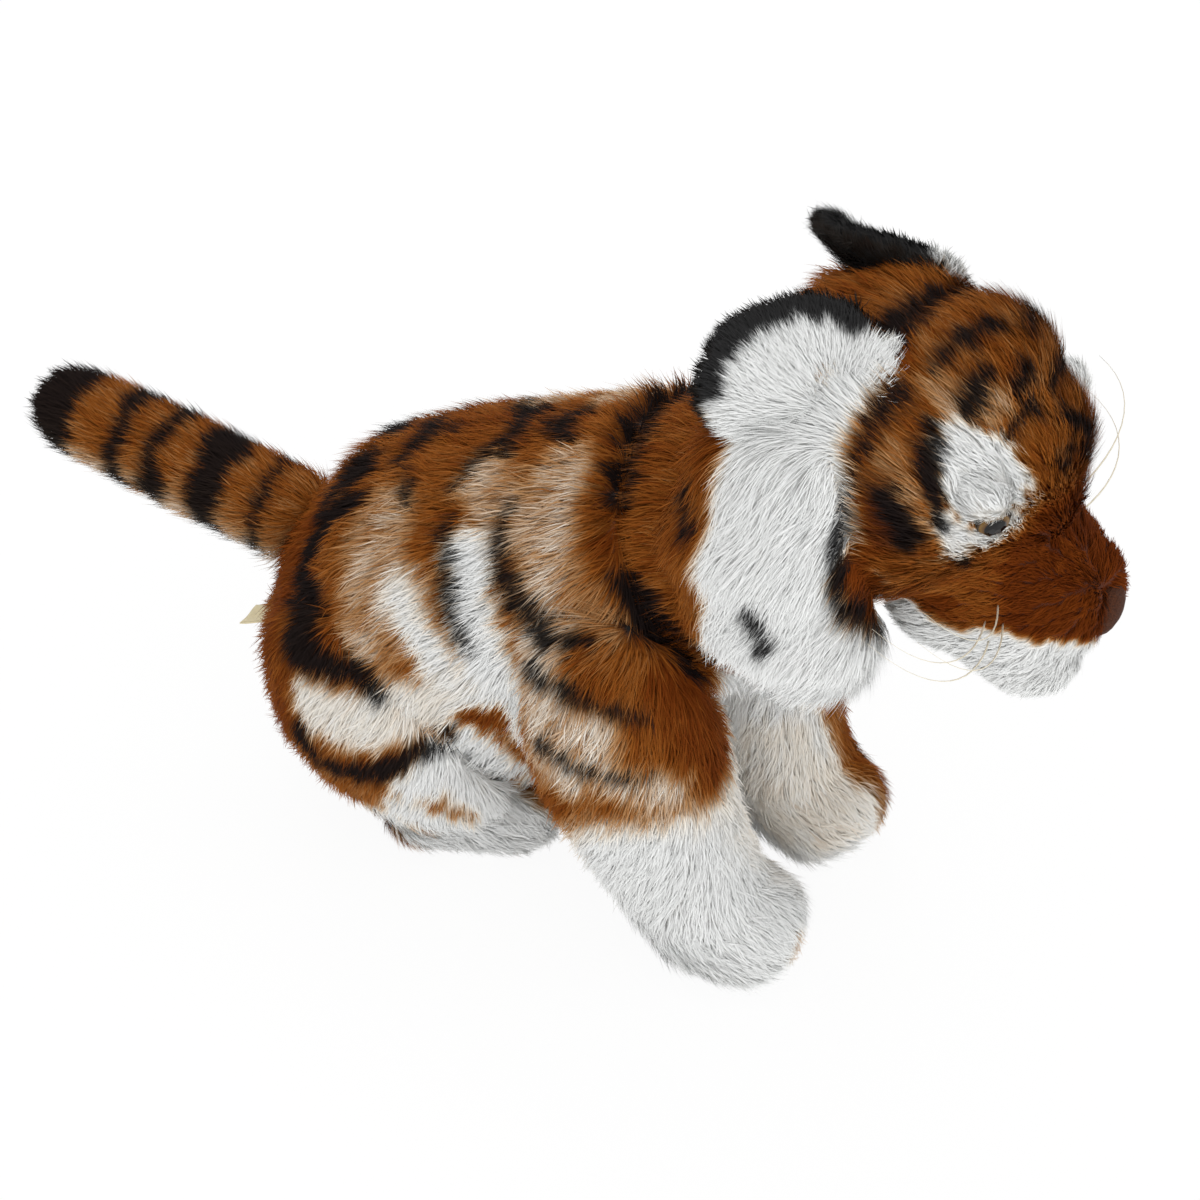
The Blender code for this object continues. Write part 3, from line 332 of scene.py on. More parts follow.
# %% Pale and coloured patches
COAT = {"body": [
    (0.40, 14, 13, 12, [(-50, -6, 150), (-56, -8, 135)]),
    (0.38, 14, 14, 10, [(-36, -6, 158), (-48, -8, 145), (-55, -24, 143), (-60, -10, 120)]),
    (0.38, 11, 10, 8, [(-24, -40, 185), (-41, -58, 182)]),
    (0.03, 11, 11, 6, [(-50, -50, 166), (-60, -58, 148), (-62, -66, 130), (-55, -74, 105)]),
    (0.06, 8, 11, 14, [(-55, -24, 143), (-61, -40, 130), (-62, -54, 112)]),
    (0.36, 13, 12, 9, [(-25, -73, 199), (-41, -74, 189), (-52, -84, 178)]),
    (0.45, 7, 6, 6, [(-55, -101, 175), (-58, -110, 168)]),
    (0.14, 11, 12, 7, [(-66, 10, 84), (-69, -9, 84), (-63, -30, 97), (-62, -46, 104)]),
    (0.66, 5, 6, 3, [(-60, -52, 101), (-60, -64, 106)]),
    (0.54, 8, 8, 4, [(-66, 2, 44), (-68, -16, 48), (-60, 12, 44)]),
    (0.03, 7, 12, 5, [(-66, -30, 60), (-61, -46, 72), (-52, -57, 60)]),
    (0.02, 7, 12, 5, [(-68, -27, 48), (-62, -41, 40), (-50, -48, 24), (-40, -48, 12)]),
    (0.02, 8, 10, 5, [(-64, -18, 34), (-56, -24, 20), (-48, -36, 12), (-42, -42, 5)]),
    (0.03, 8, 11, 5, [(-59, -54, 88), (-49, -59, 60), (-40, -58, 30), (-28, -58, 16)]),
    (0.34, 12, 11, 9, [(-64, -84, 166), (-70, -90, 150), (-74, -96, 130), (-76, -100, 110)]),
    (0.32, 9, 9, 9, [(-76, -112, 135), (-80, -112, 118), (-66, -140, 112)]),
    (0.30, 6, 7, 6, [(-50, -146, 176), (-42, -150, 152)]),
    (0.68, 10, 12, 9, [(-56, -140, 150), (-56, -148, 128), (-48, -150, 112)]),
    (0.66, 16, 16, 12, [(-30, 40, 120), (-40, 42, 90), (-50, 34, 70)]),
    (0.14, 36, 36, 20, [(-40, -130, 66), (-38, -140, 40), (-35, -160, 20)]),
    (0.02, 28, 34, 22, [(-62, -128, 70), (-58, -140, 40), (-46, -160, 18)]),
    (0.36, 4, 3, 3, [(-36, -176, 20), (-30, -178, 14)]),
    (0.15, 16, 16, 8, [(13, -140, 57), (10, -154, 36), (24, -162, 38)], 1),
    (0.55, 6, 5, 4, [(34, -148, 84), (43, -157, 62), (41, -170, 44)], 1),
    (0.02, 26, 30, 10, [(0, -20, 40), (0, -70, 70), (0, -110, 110), (0, -150, 160)]),
], "head": [
    (0.01, 7, 9, 2, [(-28, -184, 288), (-34, -179, 280), (-47, -177, 270), (-60, -178, 253)]),
    (0.01, 8, 10, 3, [(-46, -170, 266), (-60, -171, 252), (-66, -174, 238)]),
    (0.01, 9, 9, 2, [(-36, -174, 272), (-42, -162, 264)]),
    (0.73, 20, 26, 10, [(-6, -236, 226), (-10, -250, 210)]),
    (0.01, 10, 10, 3, [(-34, -226, 184), (-26, -246, 182), (-10, -260, 178)]),
    (0.01, 7, 7, 2, [(-34, -231, 192), (-27, -247, 190), (-16, -258, 187)]),
    (0.68, 7, 7, 4, [(-57, -201, 250), (-62, -202, 231), (-56, -208, 213), (-43, -215, 202)]),
    (0.57, 16, 16, 10, [(0, -190, 290), (0, -215, 284), (0, -235, 272)]),
    (0.02, 6, 11, 3, [(-33, -217, 274), (-31, -227, 268), (-31, -234, 261)]),
    (0.02, 8, 7, 3, [(-36, -219, 271), (-41, -224, 257), (-42, -228, 247)]),
    (0.06, 4, 4, 2, [(-46, -222, 250), (-45, -226, 238)]),
    (0.08, 3, 3, 2, [(-39, -230, 253), (-31, -239, 248)]),
    (0.06, 3.5, 3.5, 2, [(-43, -227, 242), (-38, -236, 239), (-30, -242, 243)]),
    (0.44, 5, 5, 5, [(-25, -206, 287), (-27, -213, 285), (-24, -225, 282)]),
    (0.46, 6, 5, 5, [(-44, -199, 269), (-48, -206, 263), (-51, -216, 249)]),
]}
print(sum(len(rows) for rows in COAT.values()), "patches of coat")

# %% [markdown]
# ### How a stroke is drawn
# A stroke could be cut into the mesh. A mask is lighter: each point of the hide is
# compared with the nearest piece of the line. The line first snaps to the hide, so small
# mistakes in it don't matter, and its edge is wavy, as a mark on fur is.

# %% Strokes
SNAP_REACH = 0.013
EDGE_WAVE, EDGE_DEPTH = 0.009, 0.0006


def steps(low, high, value):
    """0 below low, 1 above high, smooth between."""
    share = np.clip((value - low) / (high - low), 0, 1)
    return share * share * (3 - 2 * share)


def mixed(first, second, share):
    return first * (1 - share) + second * share


def ripple(points, size, seed=0.0):
    """A smooth wavy number from -1 to 1 for each point."""
    turns = np.array([[1.0, 0.6, -0.5], [-0.4, 1.1, 0.7], [0.8, -0.7, 1.0]]) * (2 * math.pi / size)
    waves = np.sin(points @ turns.T + seed + np.array([0.3, 1.7, 4.1]))
    return waves.mean(axis=1) * 1.5


def line_gap(points, line, first, last):
    """How far each point lies outside a line of points with a half width at each end."""
    best = np.full(len(points), 9.0)
    for number in range(len(line) - 1):
        a, b = line[number], line[number + 1]
        span = b - a
        share = np.clip(((points - a) @ span) / max(span @ span, 1e-12), 0, 1)
        gap = np.linalg.norm(points - (a + share[:, None] * span), axis=1)
        along = (number + share) / (len(line) - 1)
        best = np.minimum(best, gap - (first + (last - first) * along) / 1000)
    return best


def stroke_mask(points, stroke, tree, width_share=1.0):
    """How much each point of a hide lies in a stroke or in its mirror image."""
    value, first, last, soft, line = stroke[:5]
    snapped = [tree.find_nearest(Vector(place) / 1000) for place in line]
    if min(row[3] for row in snapped) > SNAP_REACH:
        return np.zeros(len(points))
    line = np.array([tuple(row[0]) if row[3] < SNAP_REACH else [number / 1000 for number in place]
                     for row, place in zip(snapped, line)])
    sides = stroke[5:] or (1, -1)
    best = np.min([line_gap(points * np.array([side, 1, 1]), line, first * width_share, last * width_share)
                   for side in sides], axis=0)
    edge = best + ripple(points, EDGE_WAVE, value * 3) * EDGE_DEPTH * min(soft, 3)
    return 1 - steps(-soft / 2000, soft / 2000, edge)


print("strokes snap to a hide from", SNAP_REACH * 1000, "mm away")

# %% [markdown]
# ## What the fur is like at each point
# The fur has to know what lies under and near each point of a hide. Weights could be
# painted by hand, but worked out from the CAD they follow it when it changes. Arrays of
# all points are quick, and a tree of triangles finds the nearest place on a piece.

# %% Reading a hide
def read(rows, key, width=3, kind=float):
    """One value of every vertex, normal or edge as an array with a row for each."""
    values = np.empty(len(rows) * width, kind)
    rows.foreach_get(key, values)
    return values.reshape(-1, width)


def tree_of(obj):
    mesh = obj.data
    return BVHTree.FromPolygons([v.co for v in mesh.vertices], [p.vertices for p in mesh.polygons])


def relaxed(mesh, values, rounds):
    """Values of the vertices, each averaged with its neighbours a few times."""
    edges = read(mesh.edges, "vertices", 2, int)
    counts = np.bincount(edges.ravel(), minlength=len(values)).astype(float)
    for _ in range(rounds):
        total = np.zeros_like(values)
        np.add.at(total, edges[:, 0], values[edges[:, 1]])
        np.add.at(total, edges[:, 1], values[edges[:, 0]])
        share = total / (counts[:, None] if values.ndim > 1 else counts)
        values = (values + share) / 2
    return values


def nearest_node(points, names):
    """The number of the CAD node that lies nearest to each point."""
    near = [tree_of(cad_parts[name]) for name in names]
    gaps = [[tree.find_nearest(Vector(point))[3] for point in points] for tree in near]
    return np.argmin(np.array(gaps), axis=0)


trees = {name: tree_of(obj) for name, obj in hides.items()}
print(len(trees), "hides can be searched")

# %% [markdown]
# ### The lie of the fur
# The pile strokes one way: back and down on the trunk, away from the nose on the face,
# down the legs and forward over the paws. It could be combed by hand. Here each kind of
# hide has a direction that bends into a second one.

# %% The lie of the fur
MUZZLE_POINT = np.array([0, -0.262, 0.205])
EAR_ROOT = np.array([0.030, -0.178, 0.262])


def bent(way, second, share):
    """A direction that turns into a second one where the share is 1."""
    return mixed(np.tile(way, (len(share), 1)), np.array(second), share[:, None])


def flow_of(kind, side, p):
    if kind == "torso":
        way = np.tile([0.0, 0.75, -0.55], (len(p), 1))
        way[:, 2] -= 0.6 * steps(0.02, 0.06, np.abs(p[:, 0]))
        chest = 1 - steps(-0.14, -0.11, p[:, 1])
        return mixed(way, np.array([0, 0.2, -1.0]), chest[:, None])
    if kind == "head":
        return p - MUZZLE_POINT
    if kind == "ear":
        return p - EAR_ROOT * np.array([side, 1, 1])
    if kind == "front_leg":
        return bent([0.0, 0.3, -1.0], [0, -1.0, -0.25], 1 - steps(0.025, 0.055, p[:, 2]))
    if kind == "hind_leg":
        return bent([0.0, 0.35, -1.0], [0, -1.0, -0.2], 1 - steps(0.03, 0.06, p[:, 2]))
    return np.tile([0.0, 1.0, 0.12] if kind == "tail" else [0.0, 0.8, -0.4], (len(p), 1))


print("the fur of the face lies away from", tuple(MUZZLE_POINT))

# %% [markdown]
# ### Head and ears
# The head is sewn from several plushes: long white ruffs, chin and throat, and a short
# rust muzzle. The nearest CAD skin says which one a point belongs to, and averaging
# softens the seam. An ear's black back rolls over its rim, which its outline gives.

# %% Head
HEAD_FORWARD = np.array([0, -0.866, -0.5])
HEAD_MIDDLE = np.array([0, -0.19, 0.234])
WHITE = 0.01


def head_fields(name, p, coat, way):
    mesh = hides[name].data
    parts = nearest_node(p, HIDES[name][1])
    ruff = relaxed(mesh, (parts >= 3).astype(float), 4)
    muzzle = relaxed(mesh, ((parts == 1) | (parts == 2)).astype(float), 3)
    chin = relaxed(mesh, (parts == 2).astype(float), 1)
    behind = 1 - steps(0.0, 0.03, (p - HEAD_MIDDLE) @ HEAD_FORWARD)
    length = mixed(mixed(0.010 + 0.002 * behind, 0.015, ruff), 0.005, muzzle)
    down = np.stack([0.25 * np.sign(p[:, 0]), np.full(len(p), 0.12), np.full(len(p), -0.95)], axis=1)
    way = mixed(way / np.linalg.norm(way, axis=1)[:, None], down, 0.8 * ruff[:, None])
    edge = p[:, 1] + ripple(p, 0.03) * 0.002
    coat = mixed(mixed(coat, WHITE, ruff * (1 - steps(-0.152, -0.146, edge))), WHITE, chin)
    throat = 1 - steps(0.195, 0.215, p[:, 2] - (p[:, 1] + 0.19) * 0.55)
    throat = throat * (1 - steps(-0.195, -0.18, p[:, 1]))
    return np.where(parts == 0, mixed(coat, WHITE, throat), coat), length, way


print("the face looks towards", tuple(HEAD_FORWARD))

# %% Ears
EAR_RIM = 0.0065
EAR_UP, EAR_INWARD = (0.31 + 0.55, 0.74), 0.59
SECTORS = 36


def rim_gap(p):
    """How far each point of an ear lies inside its outline."""
    centre = p.mean(axis=0)
    axes = np.linalg.svd(p - centre, full_matrices=False)[2]
    flat = (p - centre) @ axes[:2].T
    reach = np.linalg.norm(flat, axis=1)
    turn = np.arctan2(flat[:, 1], flat[:, 0]) / (2 * math.pi) + 0.5
    sector = (turn * SECTORS).astype(int) % SECTORS
    outline = np.array([reach[sector == number].max() for number in range(SECTORS)])
    return outline[sector] - reach


def ear_fields(name, side, p):
    parts = nearest_node(p, HIDES[name][1])
    lining = relaxed(hides[name].data, (parts == 1).astype(float), 2)
    rim = 1 - steps(EAR_RIM, EAR_RIM + 0.002, rim_gap(p) + ripple(p, 0.01) * 0.0008)
    height = (p - p.mean(axis=0)) @ np.array([-EAR_INWARD * side, *EAR_UP])
    rim = rim * steps(-0.006, 0.001, height)
    back = (1 - lining) * steps(-0.013, -0.008, height)
    return 0.3 * back, np.maximum(back, rim), 0.006 + 0.001 * lining * (1 - rim)


print("an ear's black rim is", EAR_RIM * 1000, "mm wide")

# %% [markdown]
# ### Where fur is thin
# Fur can't stand where another piece or the floor presses on it. It could be masked by
# hand, but a short ray from each point finds what lies outside. A maker also trims the
# fur around the eyes and the label.

# %% Where fur is thin
FEEL, NEAR, BURIED, SKIP = 0.008, 0.02, -0.0015, 0.0004


def thinned(p, n, length, others):
    """How dense the fur is at each point. The length is cut where a piece lies close outside."""
    resting = (1 - steps(0.003, 0.010, p[:, 2])) * (n[:, 2] < -0.4)
    dense = (1 - resting) * (1 - 0.45 * (n[:, 2] < -0.3))
    for number in np.flatnonzero(dense > 0):
        point, normal = Vector(p[number]), Vector(n[number])
        for other in others:
            hit = other.ray_cast(point + normal * SKIP, normal, FEEL)
            if hit[0] is not None:
                dense[number] *= min(max((hit[3] - 0.001) / 0.006, 0), 1)
                length[number] = min(length[number], 0.004 + hit[3])
            near = other.find_nearest(point, NEAR)
            if near[0] is not None and (point - near[0]).dot(near[1]) < BURIED:
                dense[number] = 0
    return dense


def trimmed(p, place, dense, length, bare, full, start, short, slope):
    """No fur nearer to a place than bare, and fur that grows longer from start on."""
    gap = np.linalg.norm(p - place, axis=1)
    return dense * steps(bare, full, gap), np.minimum(length, short + np.maximum(gap - start, 0) * slope)


EYE_TRIM = (0.0052, 0.0066, 0.006, 0.0032, 0.5)
LABEL_TRIM = (0.006, 0.009, 0.009, 0.004, 1)
LABEL_POINT = np.array([-0.010, 0.060, 0.063])
EYE_POINTS = {}
for word in ("left", "right"):
    low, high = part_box(f"eye_{word}")
    EYE_POINTS[word] = (np.array(low) + np.array(high)) / 2
print("fur keeps off", len(EYE_POINTS), "eyes and a label")

# %% [markdown]
# ### All fields of a hide
# Length and coat start from plain values for each kind of hide, and the strokes are laid
# over them. An image would have a fixed size, so the numbers are stored on the mesh.

# %% Plain values of a hide
BASE_COAT, BASE_LENGTH, TAIL_LENGTH = 0.595, 0.012, 0.010
TAIL_RINGS = ((0.064, 0.0030), (0.086, 0.0085), (0.109, 0.0046), (0.127, 0.0050))  # place, half width
TAIL_TIP_FROM, RING_EDGE = 0.145, 0.001


def kind_of(name):
    return name.removeprefix("hide_").removesuffix("_left").removesuffix("_right")


def plain_fields(name, p, n):
    """Coat, ink, length and direction before any stroke."""
    kind, side = kind_of(name), -1 if name.endswith("right") else 1
    coat, ink = np.full(len(p), BASE_COAT), np.zeros(len(p))
    length, way = np.full(len(p), BASE_LENGTH), flow_of(kind, side, p)
    if kind == "torso":
        length = 0.013 + 0.002 * steps(0.03, 0.055, np.abs(p[:, 0]))
    elif kind == "head":
        coat, length, way = head_fields(name, p, coat, way)
    elif kind == "ear":
        coat, ink, length = ear_fields(name, side, p)
    elif kind == "front_leg":
        length = 0.010 + 0.003 * steps(0.05, 0.11, p[:, 2])
        coat = coat * (1 - 0.9 * (1 - steps(0.03, 0.045, np.abs(p[:, 0]))))
    elif kind == "hind_leg":
        length = 0.009 + 0.004 * steps(0.03, 0.07, p[:, 2])
    elif kind == "tail":
        length = np.full(len(p), TAIL_LENGTH)
        coat = 0.36 + 0.20 * steps(-0.3, 0.5, n[:, 2])
    return coat, ink, length, way


def tail_ink(p):
    along = p[:, 1] + ripple(p, 0.02) * 0.0025
    rings = [1 - steps(half - RING_EDGE, half + RING_EDGE, np.abs(along - place))
             for place, half in TAIL_RINGS]
    return np.max([*rings, steps(TAIL_TIP_FROM - RING_EDGE, TAIL_TIP_FROM + RING_EDGE, along)], axis=0)


print("kinds of hide", sorted({kind_of(name) for name in HIDES}))

# %% All fields of a hide
TABLES = {"head": "head", "ear": None, "tail": None}  # of strokes, and body for every other kind
MARK_SHARES = {"body": 1.5, "head": 1.3}  # dark marks are drawn wider than they are written


def fields(name, others):
    kind, mesh = kind_of(name), hides[name].data
    p, n = read(mesh.vertices, "co"), read(mesh.vertex_normals, "vector")
    coat, ink, length, way = plain_fields(name, p, n)
    table = TABLES.get(kind, "body")
    for stroke in COAT.get(table, []):
        coat = mixed(coat, stroke[0], stroke_mask(p, stroke, trees[name]))
    for stroke in INK.get(table, []):
        ink = np.maximum(ink, stroke[0] * stroke_mask(p, stroke, trees[name], MARK_SHARES[table]))
    if kind == "tail":
        ink = tail_ink(p)
    dense = thinned(p, n, length, others)
    if kind == "head":
        for place in EYE_POINTS.values():
            dense, length = trimmed(p, place, dense, length, *EYE_TRIM)
    if kind == "torso":
        dense, length = trimmed(p, LABEL_POINT, dense, length, *LABEL_TRIM)
    length *= 1 - 0.55 * (1 - steps(0.004, 0.018, p[:, 2]))
    flat = way - n * np.sum(way * n, axis=1)[:, None]
    flat /= np.maximum(np.linalg.norm(flat, axis=1), 1e-6)[:, None]
    streak = 0.03 + 0.17 * np.exp(-((coat - 0.30) / 0.12) ** 2) + 0.05 * steps(0.42, 0.5, coat)
    return p, n, {"coat": coat, "ink": ink, "length": relaxed(mesh, length, 2), "dense": dense,
                  "streak": streak}, relaxed(mesh, flat, 6)


print("tables of strokes", list(INK))

# %% Store the fields
facts = {}
for name in HIDES:
    p, n, numbers, flow = fields(name, [tree for other, tree in trees.items() if other != name])
    mesh = hides[name].data
    for key, values in numbers.items():
        mesh.attributes.new(key, "FLOAT", "POINT").data.foreach_set("value", values.astype(np.float32))
    attribute = mesh.attributes.new("flow", "FLOAT_VECTOR", "POINT")
    attribute.data.foreach_set("vector", flow.astype(np.float32).ravel())
    facts[name] = (p, n, numbers["dense"])
    area = sum(polygon.area for polygon in mesh.polygons) * 1e6
    print(name, round(area), "mm2, ink", round(float(numbers["ink"].mean()), 2))

# %% [markdown]
# ## Colour from coat and ink
# Each material could have a ramp of its own, but then hide and fur could drift apart. One
# group of nodes turns the two numbers into a colour for both.

# %% Colour helpers
def colour_ramp(tree, share, stops):
    """A share from 0 to 1 as a colour, through stops of position and colour."""
    node = tree.nodes.new("ShaderNodeValToRGB")
    elements = node.color_ramp.elements
    elements[0].position, elements[1].position = stops[0][0], stops[-1][0]
    for position, _ in stops[1:-1]:
        elements.new(position)
    for element, (_, colour) in zip(elements, stops):
        element.color = (*colour, 1)
    tree.links.new(share, node.inputs[0])
    return node.outputs[0]


def colour_mix(tree, share, first, second, blend_type="MIX"):
    node = tree.nodes.new("ShaderNodeMix")
    node.data_type, node.blend_type = "RGBA", blend_type
    colours = [socket for socket in node.inputs if socket.type == "RGBA"]
    for socket, value in ((node.inputs[0], share), (colours[0], first), (colours[1], second)):
        feed(tree, socket, value)
    return next(socket for socket in node.outputs if socket.type == "RGBA")


def texture(tree, kind, scale):
    """A texture that is fixed to its piece."""
    node = tree.nodes.new(kind)
    node.inputs["Scale"].default_value = scale
    tree.links.new(tree.nodes.new("ShaderNodeTexCoord").outputs["Object"], node.inputs["Vector"])
    return node


def add_bump(tree, shader, height, distance):
    bump = tree.nodes.new("ShaderNodeBump")
    bump.inputs["Distance"].default_value = distance
    wire(tree, [(height, bump.inputs["Height"]), (bump.outputs[0], shader.inputs["Normal"])])


print("colour helpers are ready")

# %% Colour group
COLOURS = ((0.00, (0.80, 0.81, 0.805)), (0.12, (0.82, 0.77, 0.69)), (0.25, (0.60, 0.46, 0.33)),
           (0.38, (0.42, 0.22, 0.09)), (0.50, (0.265, 0.083, 0.013)), (0.62, (0.16, 0.035, 0.004)),
           (0.78, (0.075, 0.013, 0.002)), (1.00, (0.03, 0.007, 0.002)))
BLACK = (0.008, 0.0075, 0.008, 1)
group = bpy.data.node_groups.new("coat_colour", "ShaderNodeTree")
for name, way, kind in (("Coat", "INPUT", "Float"), ("Ink", "INPUT", "Float"), ("Color", "OUTPUT", "Color")):
    group.interface.new_socket(name, in_out=way, socket_type="NodeSocket" + kind)
entry = group.nodes.new("NodeGroupInput").outputs
mix = colour_mix(group, entry["Ink"], colour_ramp(group, entry["Coat"], COLOURS), BLACK)
wire(group, [(mix, group.nodes.new("NodeGroupOutput").inputs["Color"])])
print("coat colours", len(COLOURS))

# %% [markdown]
# A strand is grown with its colour in a chart, the UV map OFBake. The hide reads its own
# attributes, and a fine grain stands for the backing between the strands.

# %% Fur and hide materials
def tinted(tree, coat, ink):
    node = tree.nodes.new("ShaderNodeGroup")
    node.node_tree = group
    wire(tree, [(coat, node.inputs["Coat"]), (ink, node.inputs["Ink"])])
    return node.outputs[0]


def stored(tree, name):
    node = tree.nodes.new("ShaderNodeAttribute")
    node.attribute_name = name
    return node.outputs["Fac"]


fur_material, tree, shader = new_material("fur", 0.7, 0.02)
chart = tree.nodes.new("ShaderNodeUVMap")
chart.uv_map = "OFBake"
split = tree.nodes.new("ShaderNodeSeparateXYZ")
wire(tree, [(chart.outputs[0], split.inputs[0]),
            (tinted(tree, split.outputs["X"], split.outputs["Y"]), shader.inputs["Base Color"])])

GRAIN_SCALE, GRAIN_SHARE, GRAIN_BUMP = 1800, 0.1, 0.0006
hide_material, tree, shader = new_material("pile_backing", 0.95)
grain = texture(tree, "ShaderNodeTexNoise", GRAIN_SCALE).outputs["Fac"]
plain = tinted(tree, stored(tree, "coat"), stored(tree, "ink"))
wire(tree, [(colour_mix(tree, GRAIN_SHARE, plain, grain, "MULTIPLY"), shader.inputs["Base Color"])])
add_bump(tree, shader, grain, GRAIN_BUMP)
for obj in hides.values():
    obj.data.materials.clear()
    obj.data.materials.append(hide_material)
print("materials", fur_material.name, hide_material.name)

# %% [markdown]
# ## A strand of fur
# Pile is thousands of fibres that stick together in tapered tufts. Blender's hair could
# draw them, but it isn't a plain mesh that other programs load. So a strand is a bent
# blade of three triangles, widest in the middle.

# %% Strand
STRAND = ((0.0, 0.00, 0.75), (0.50, 0.30, 1.00), (1.0, 0.38, 0.0))  # along, up, width
rows = [(x, side, side * width / 2, z) for x, z, width in STRAND[:-1] for side in (-1, 1)]
rows.append((STRAND[-1][0], 0, 0, STRAND[-1][1]))
mesh = bpy.data.meshes.new("strand")
mesh.from_pydata([(x, y, z) for x, _, y, z in rows], [], [(0, 2, 3, 1), (2, 4, 3)])
for number, key in enumerate(("along", "aside")):
    mesh.attributes.new(key, "FLOAT", "POINT").data.foreach_set("value", [float(row[number]) for row in rows])
mesh.shade_smooth()
strand = add_object("strand", mesh)
print("strand of", len(mesh.polygons), "faces")

# %% [markdown]
# ## Fur nodes
# Half a million strands can't be set by hand. Geometry Nodes scatters the strand over a
# hide. Each choice is a named input or is drawn from a seed, so the same fur grows each
# time. The next cells build the tree in the order in which it works.

# %% Start of the fur nodes
FUR_INPUTS = (("Density", "Float"), ("Width", "Float"), ("Lift", "Float"), ("Lock Size", "Float"),
              ("Lock Pull", "Float"), ("Stray", "Float"), ("Seed", "Int"), ("Strand", "Object"),
              ("Material", "Material"))
fur_nodes = bpy.data.node_groups.new("grow_fur", "GeometryNodeTree")
for name, kind in (("Geometry", "Geometry"), *FUR_INPUTS):
    fur_nodes.interface.new_socket(name, in_out="INPUT", socket_type="NodeSocket" + kind)
fur_nodes.interface.new_socket("Geometry", in_out="OUTPUT", socket_type="NodeSocketGeometry")
given = fur_nodes.nodes.new("NodeGroupInput").outputs
print("fur inputs", [name for name, _ in FUR_INPUTS])


# %% Helpers of the fur nodes
def node(kind, **options):
    made = fur_nodes.nodes.new(kind)
    for key, value in options.items():
        setattr(made, key, value)
    return made


def join(*pairs):
    wire(fur_nodes, pairs)


def maths(operation, *values):
    return math_node(fur_nodes, operation, *values)


def vectors(operation, *values):
    return vector_node(fur_nodes, operation, *values)


def combined(*values):
    made = node("ShaderNodeCombineXYZ")
    for socket, value in zip(made.inputs, values):
        feed(fur_nodes, socket, value)
    return made.outputs[0]


def separated(vector):
    made = node("ShaderNodeSeparateXYZ")
    join((vector, made.inputs[0]))
    return made.outputs


def named(name, data_type="FLOAT"):
    made = node("GeometryNodeInputNamedAttribute", data_type=data_type)
    made.inputs["Name"].default_value = name
    return made.outputs["Attribute"]


def chance(low, high, salt):
    """A random number for each strand. The salt keeps it apart from the other numbers."""
    made = node("FunctionNodeRandomValue", data_type="FLOAT")
    made.inputs[2].default_value, made.inputs[3].default_value = low, high
    join((maths("ADD", given["Seed"], salt), made.inputs["Seed"]))
    return made.outputs[1]


def store(geometry, name, value, data_type="FLOAT", domain="POINT"):
    made = node("GeometryNodeStoreNamedAttribute", data_type=data_type, domain=domain)
    made.inputs["Name"].default_value = name
    join((geometry, made.inputs["Geometry"]), (value, made.inputs["Value"]))
    return made.outputs["Geometry"]


print("fur node helpers are ready")

# %% [markdown]
# The fibres of plush gather in locks. Locks could be modelled and copied. Voronoi cells
# are simpler: each strand leans towards the middle of its cell. A slow noise bends whole
# areas, as if a hand has stroked the toy.

# %% Where strands stand and which way they lie
WAVE_SCALE, WAVE_DRIFT = 55, 1.3
scatter = node("GeometryNodeDistributePointsOnFaces", distribute_method="RANDOM")
here = node("GeometryNodeInputPosition").outputs[0]
lock = node("ShaderNodeTexVoronoi", feature="F1")
wave = node("ShaderNodeTexNoise")
wave.inputs["Scale"].default_value = WAVE_SCALE
join((given["Geometry"], scatter.inputs["Mesh"]), (given["Seed"], scatter.inputs["Seed"]),
     (maths("MULTIPLY", named("mask"), given["Density"]), scatter.inputs["Density"]),
     (here, lock.inputs["Vector"]), (here, wave.inputs["Vector"]),
     (maths("DIVIDE", 1.0, given["Lock Size"]), lock.inputs["Scale"]))
to_lock = vectors("SUBTRACT", lock.outputs["Position"], here)
pull = vectors("SCALE", to_lock, maths("DIVIDE", given["Lock Pull"], named("length")))
drift = vectors("SCALE", vectors("SUBTRACT", wave.outputs["Color"], (0.5, 0.5, 0.5)), WAVE_DRIFT)
way = vectors("ADD", vectors("ADD", named("flow", "FLOAT_VECTOR"), pull), drift)
print(len(fur_nodes.nodes), "fur nodes so far")

# %% Turn, size and toss of a strand
STRAYS = ((-1.2, 1.2, 11), (-0.5, 0.4, 12), (-1, 1, 13))  # radians and salt, for each axis
OWN_TOSS, LOCK_TOSS = 0.55, 1.1
upright = node("FunctionNodeAlignRotationToVector", axis="Z")
along = node("FunctionNodeAlignRotationToVector", axis="X", pivot_axis="Z")
turn = node("FunctionNodeEulerToRotation")
turned = node("FunctionNodeRotateRotation", rotation_space="LOCAL")
astray = combined(*(maths("MULTIPLY", chance(*row), given["Stray"]) for row in STRAYS))
join((scatter.outputs["Normal"], upright.inputs["Vector"]),
     (upright.outputs[0], along.inputs["Rotation"]), (way, along.inputs["Vector"]),
     (astray, turn.inputs[0]), (along.outputs[0], turned.inputs[0]),
     (turn.outputs[0], turned.inputs[1]))
long = maths("MULTIPLY", named("length"), chance(0.72, 1.2, 15))
wide = maths("MULTIPLY", given["Width"], chance(0.6, 1.3, 17))
high = maths("MULTIPLY", maths("MULTIPLY", long, given["Lift"]), chance(0.45, 1.55, 16))
toss = maths("ADD", maths("MULTIPLY", chance(-1, 1, 14), OWN_TOSS),
             maths("MULTIPLY_ADD", separated(lock.outputs["Color"])[0], LOCK_TOSS, -LOCK_TOSS / 2))
print(len(fur_nodes.nodes), "fur nodes so far")

# %% [markdown]
# A point keeps the hide's normal and its own toss for later. The copies are made real,
# so the fur is one plain mesh.

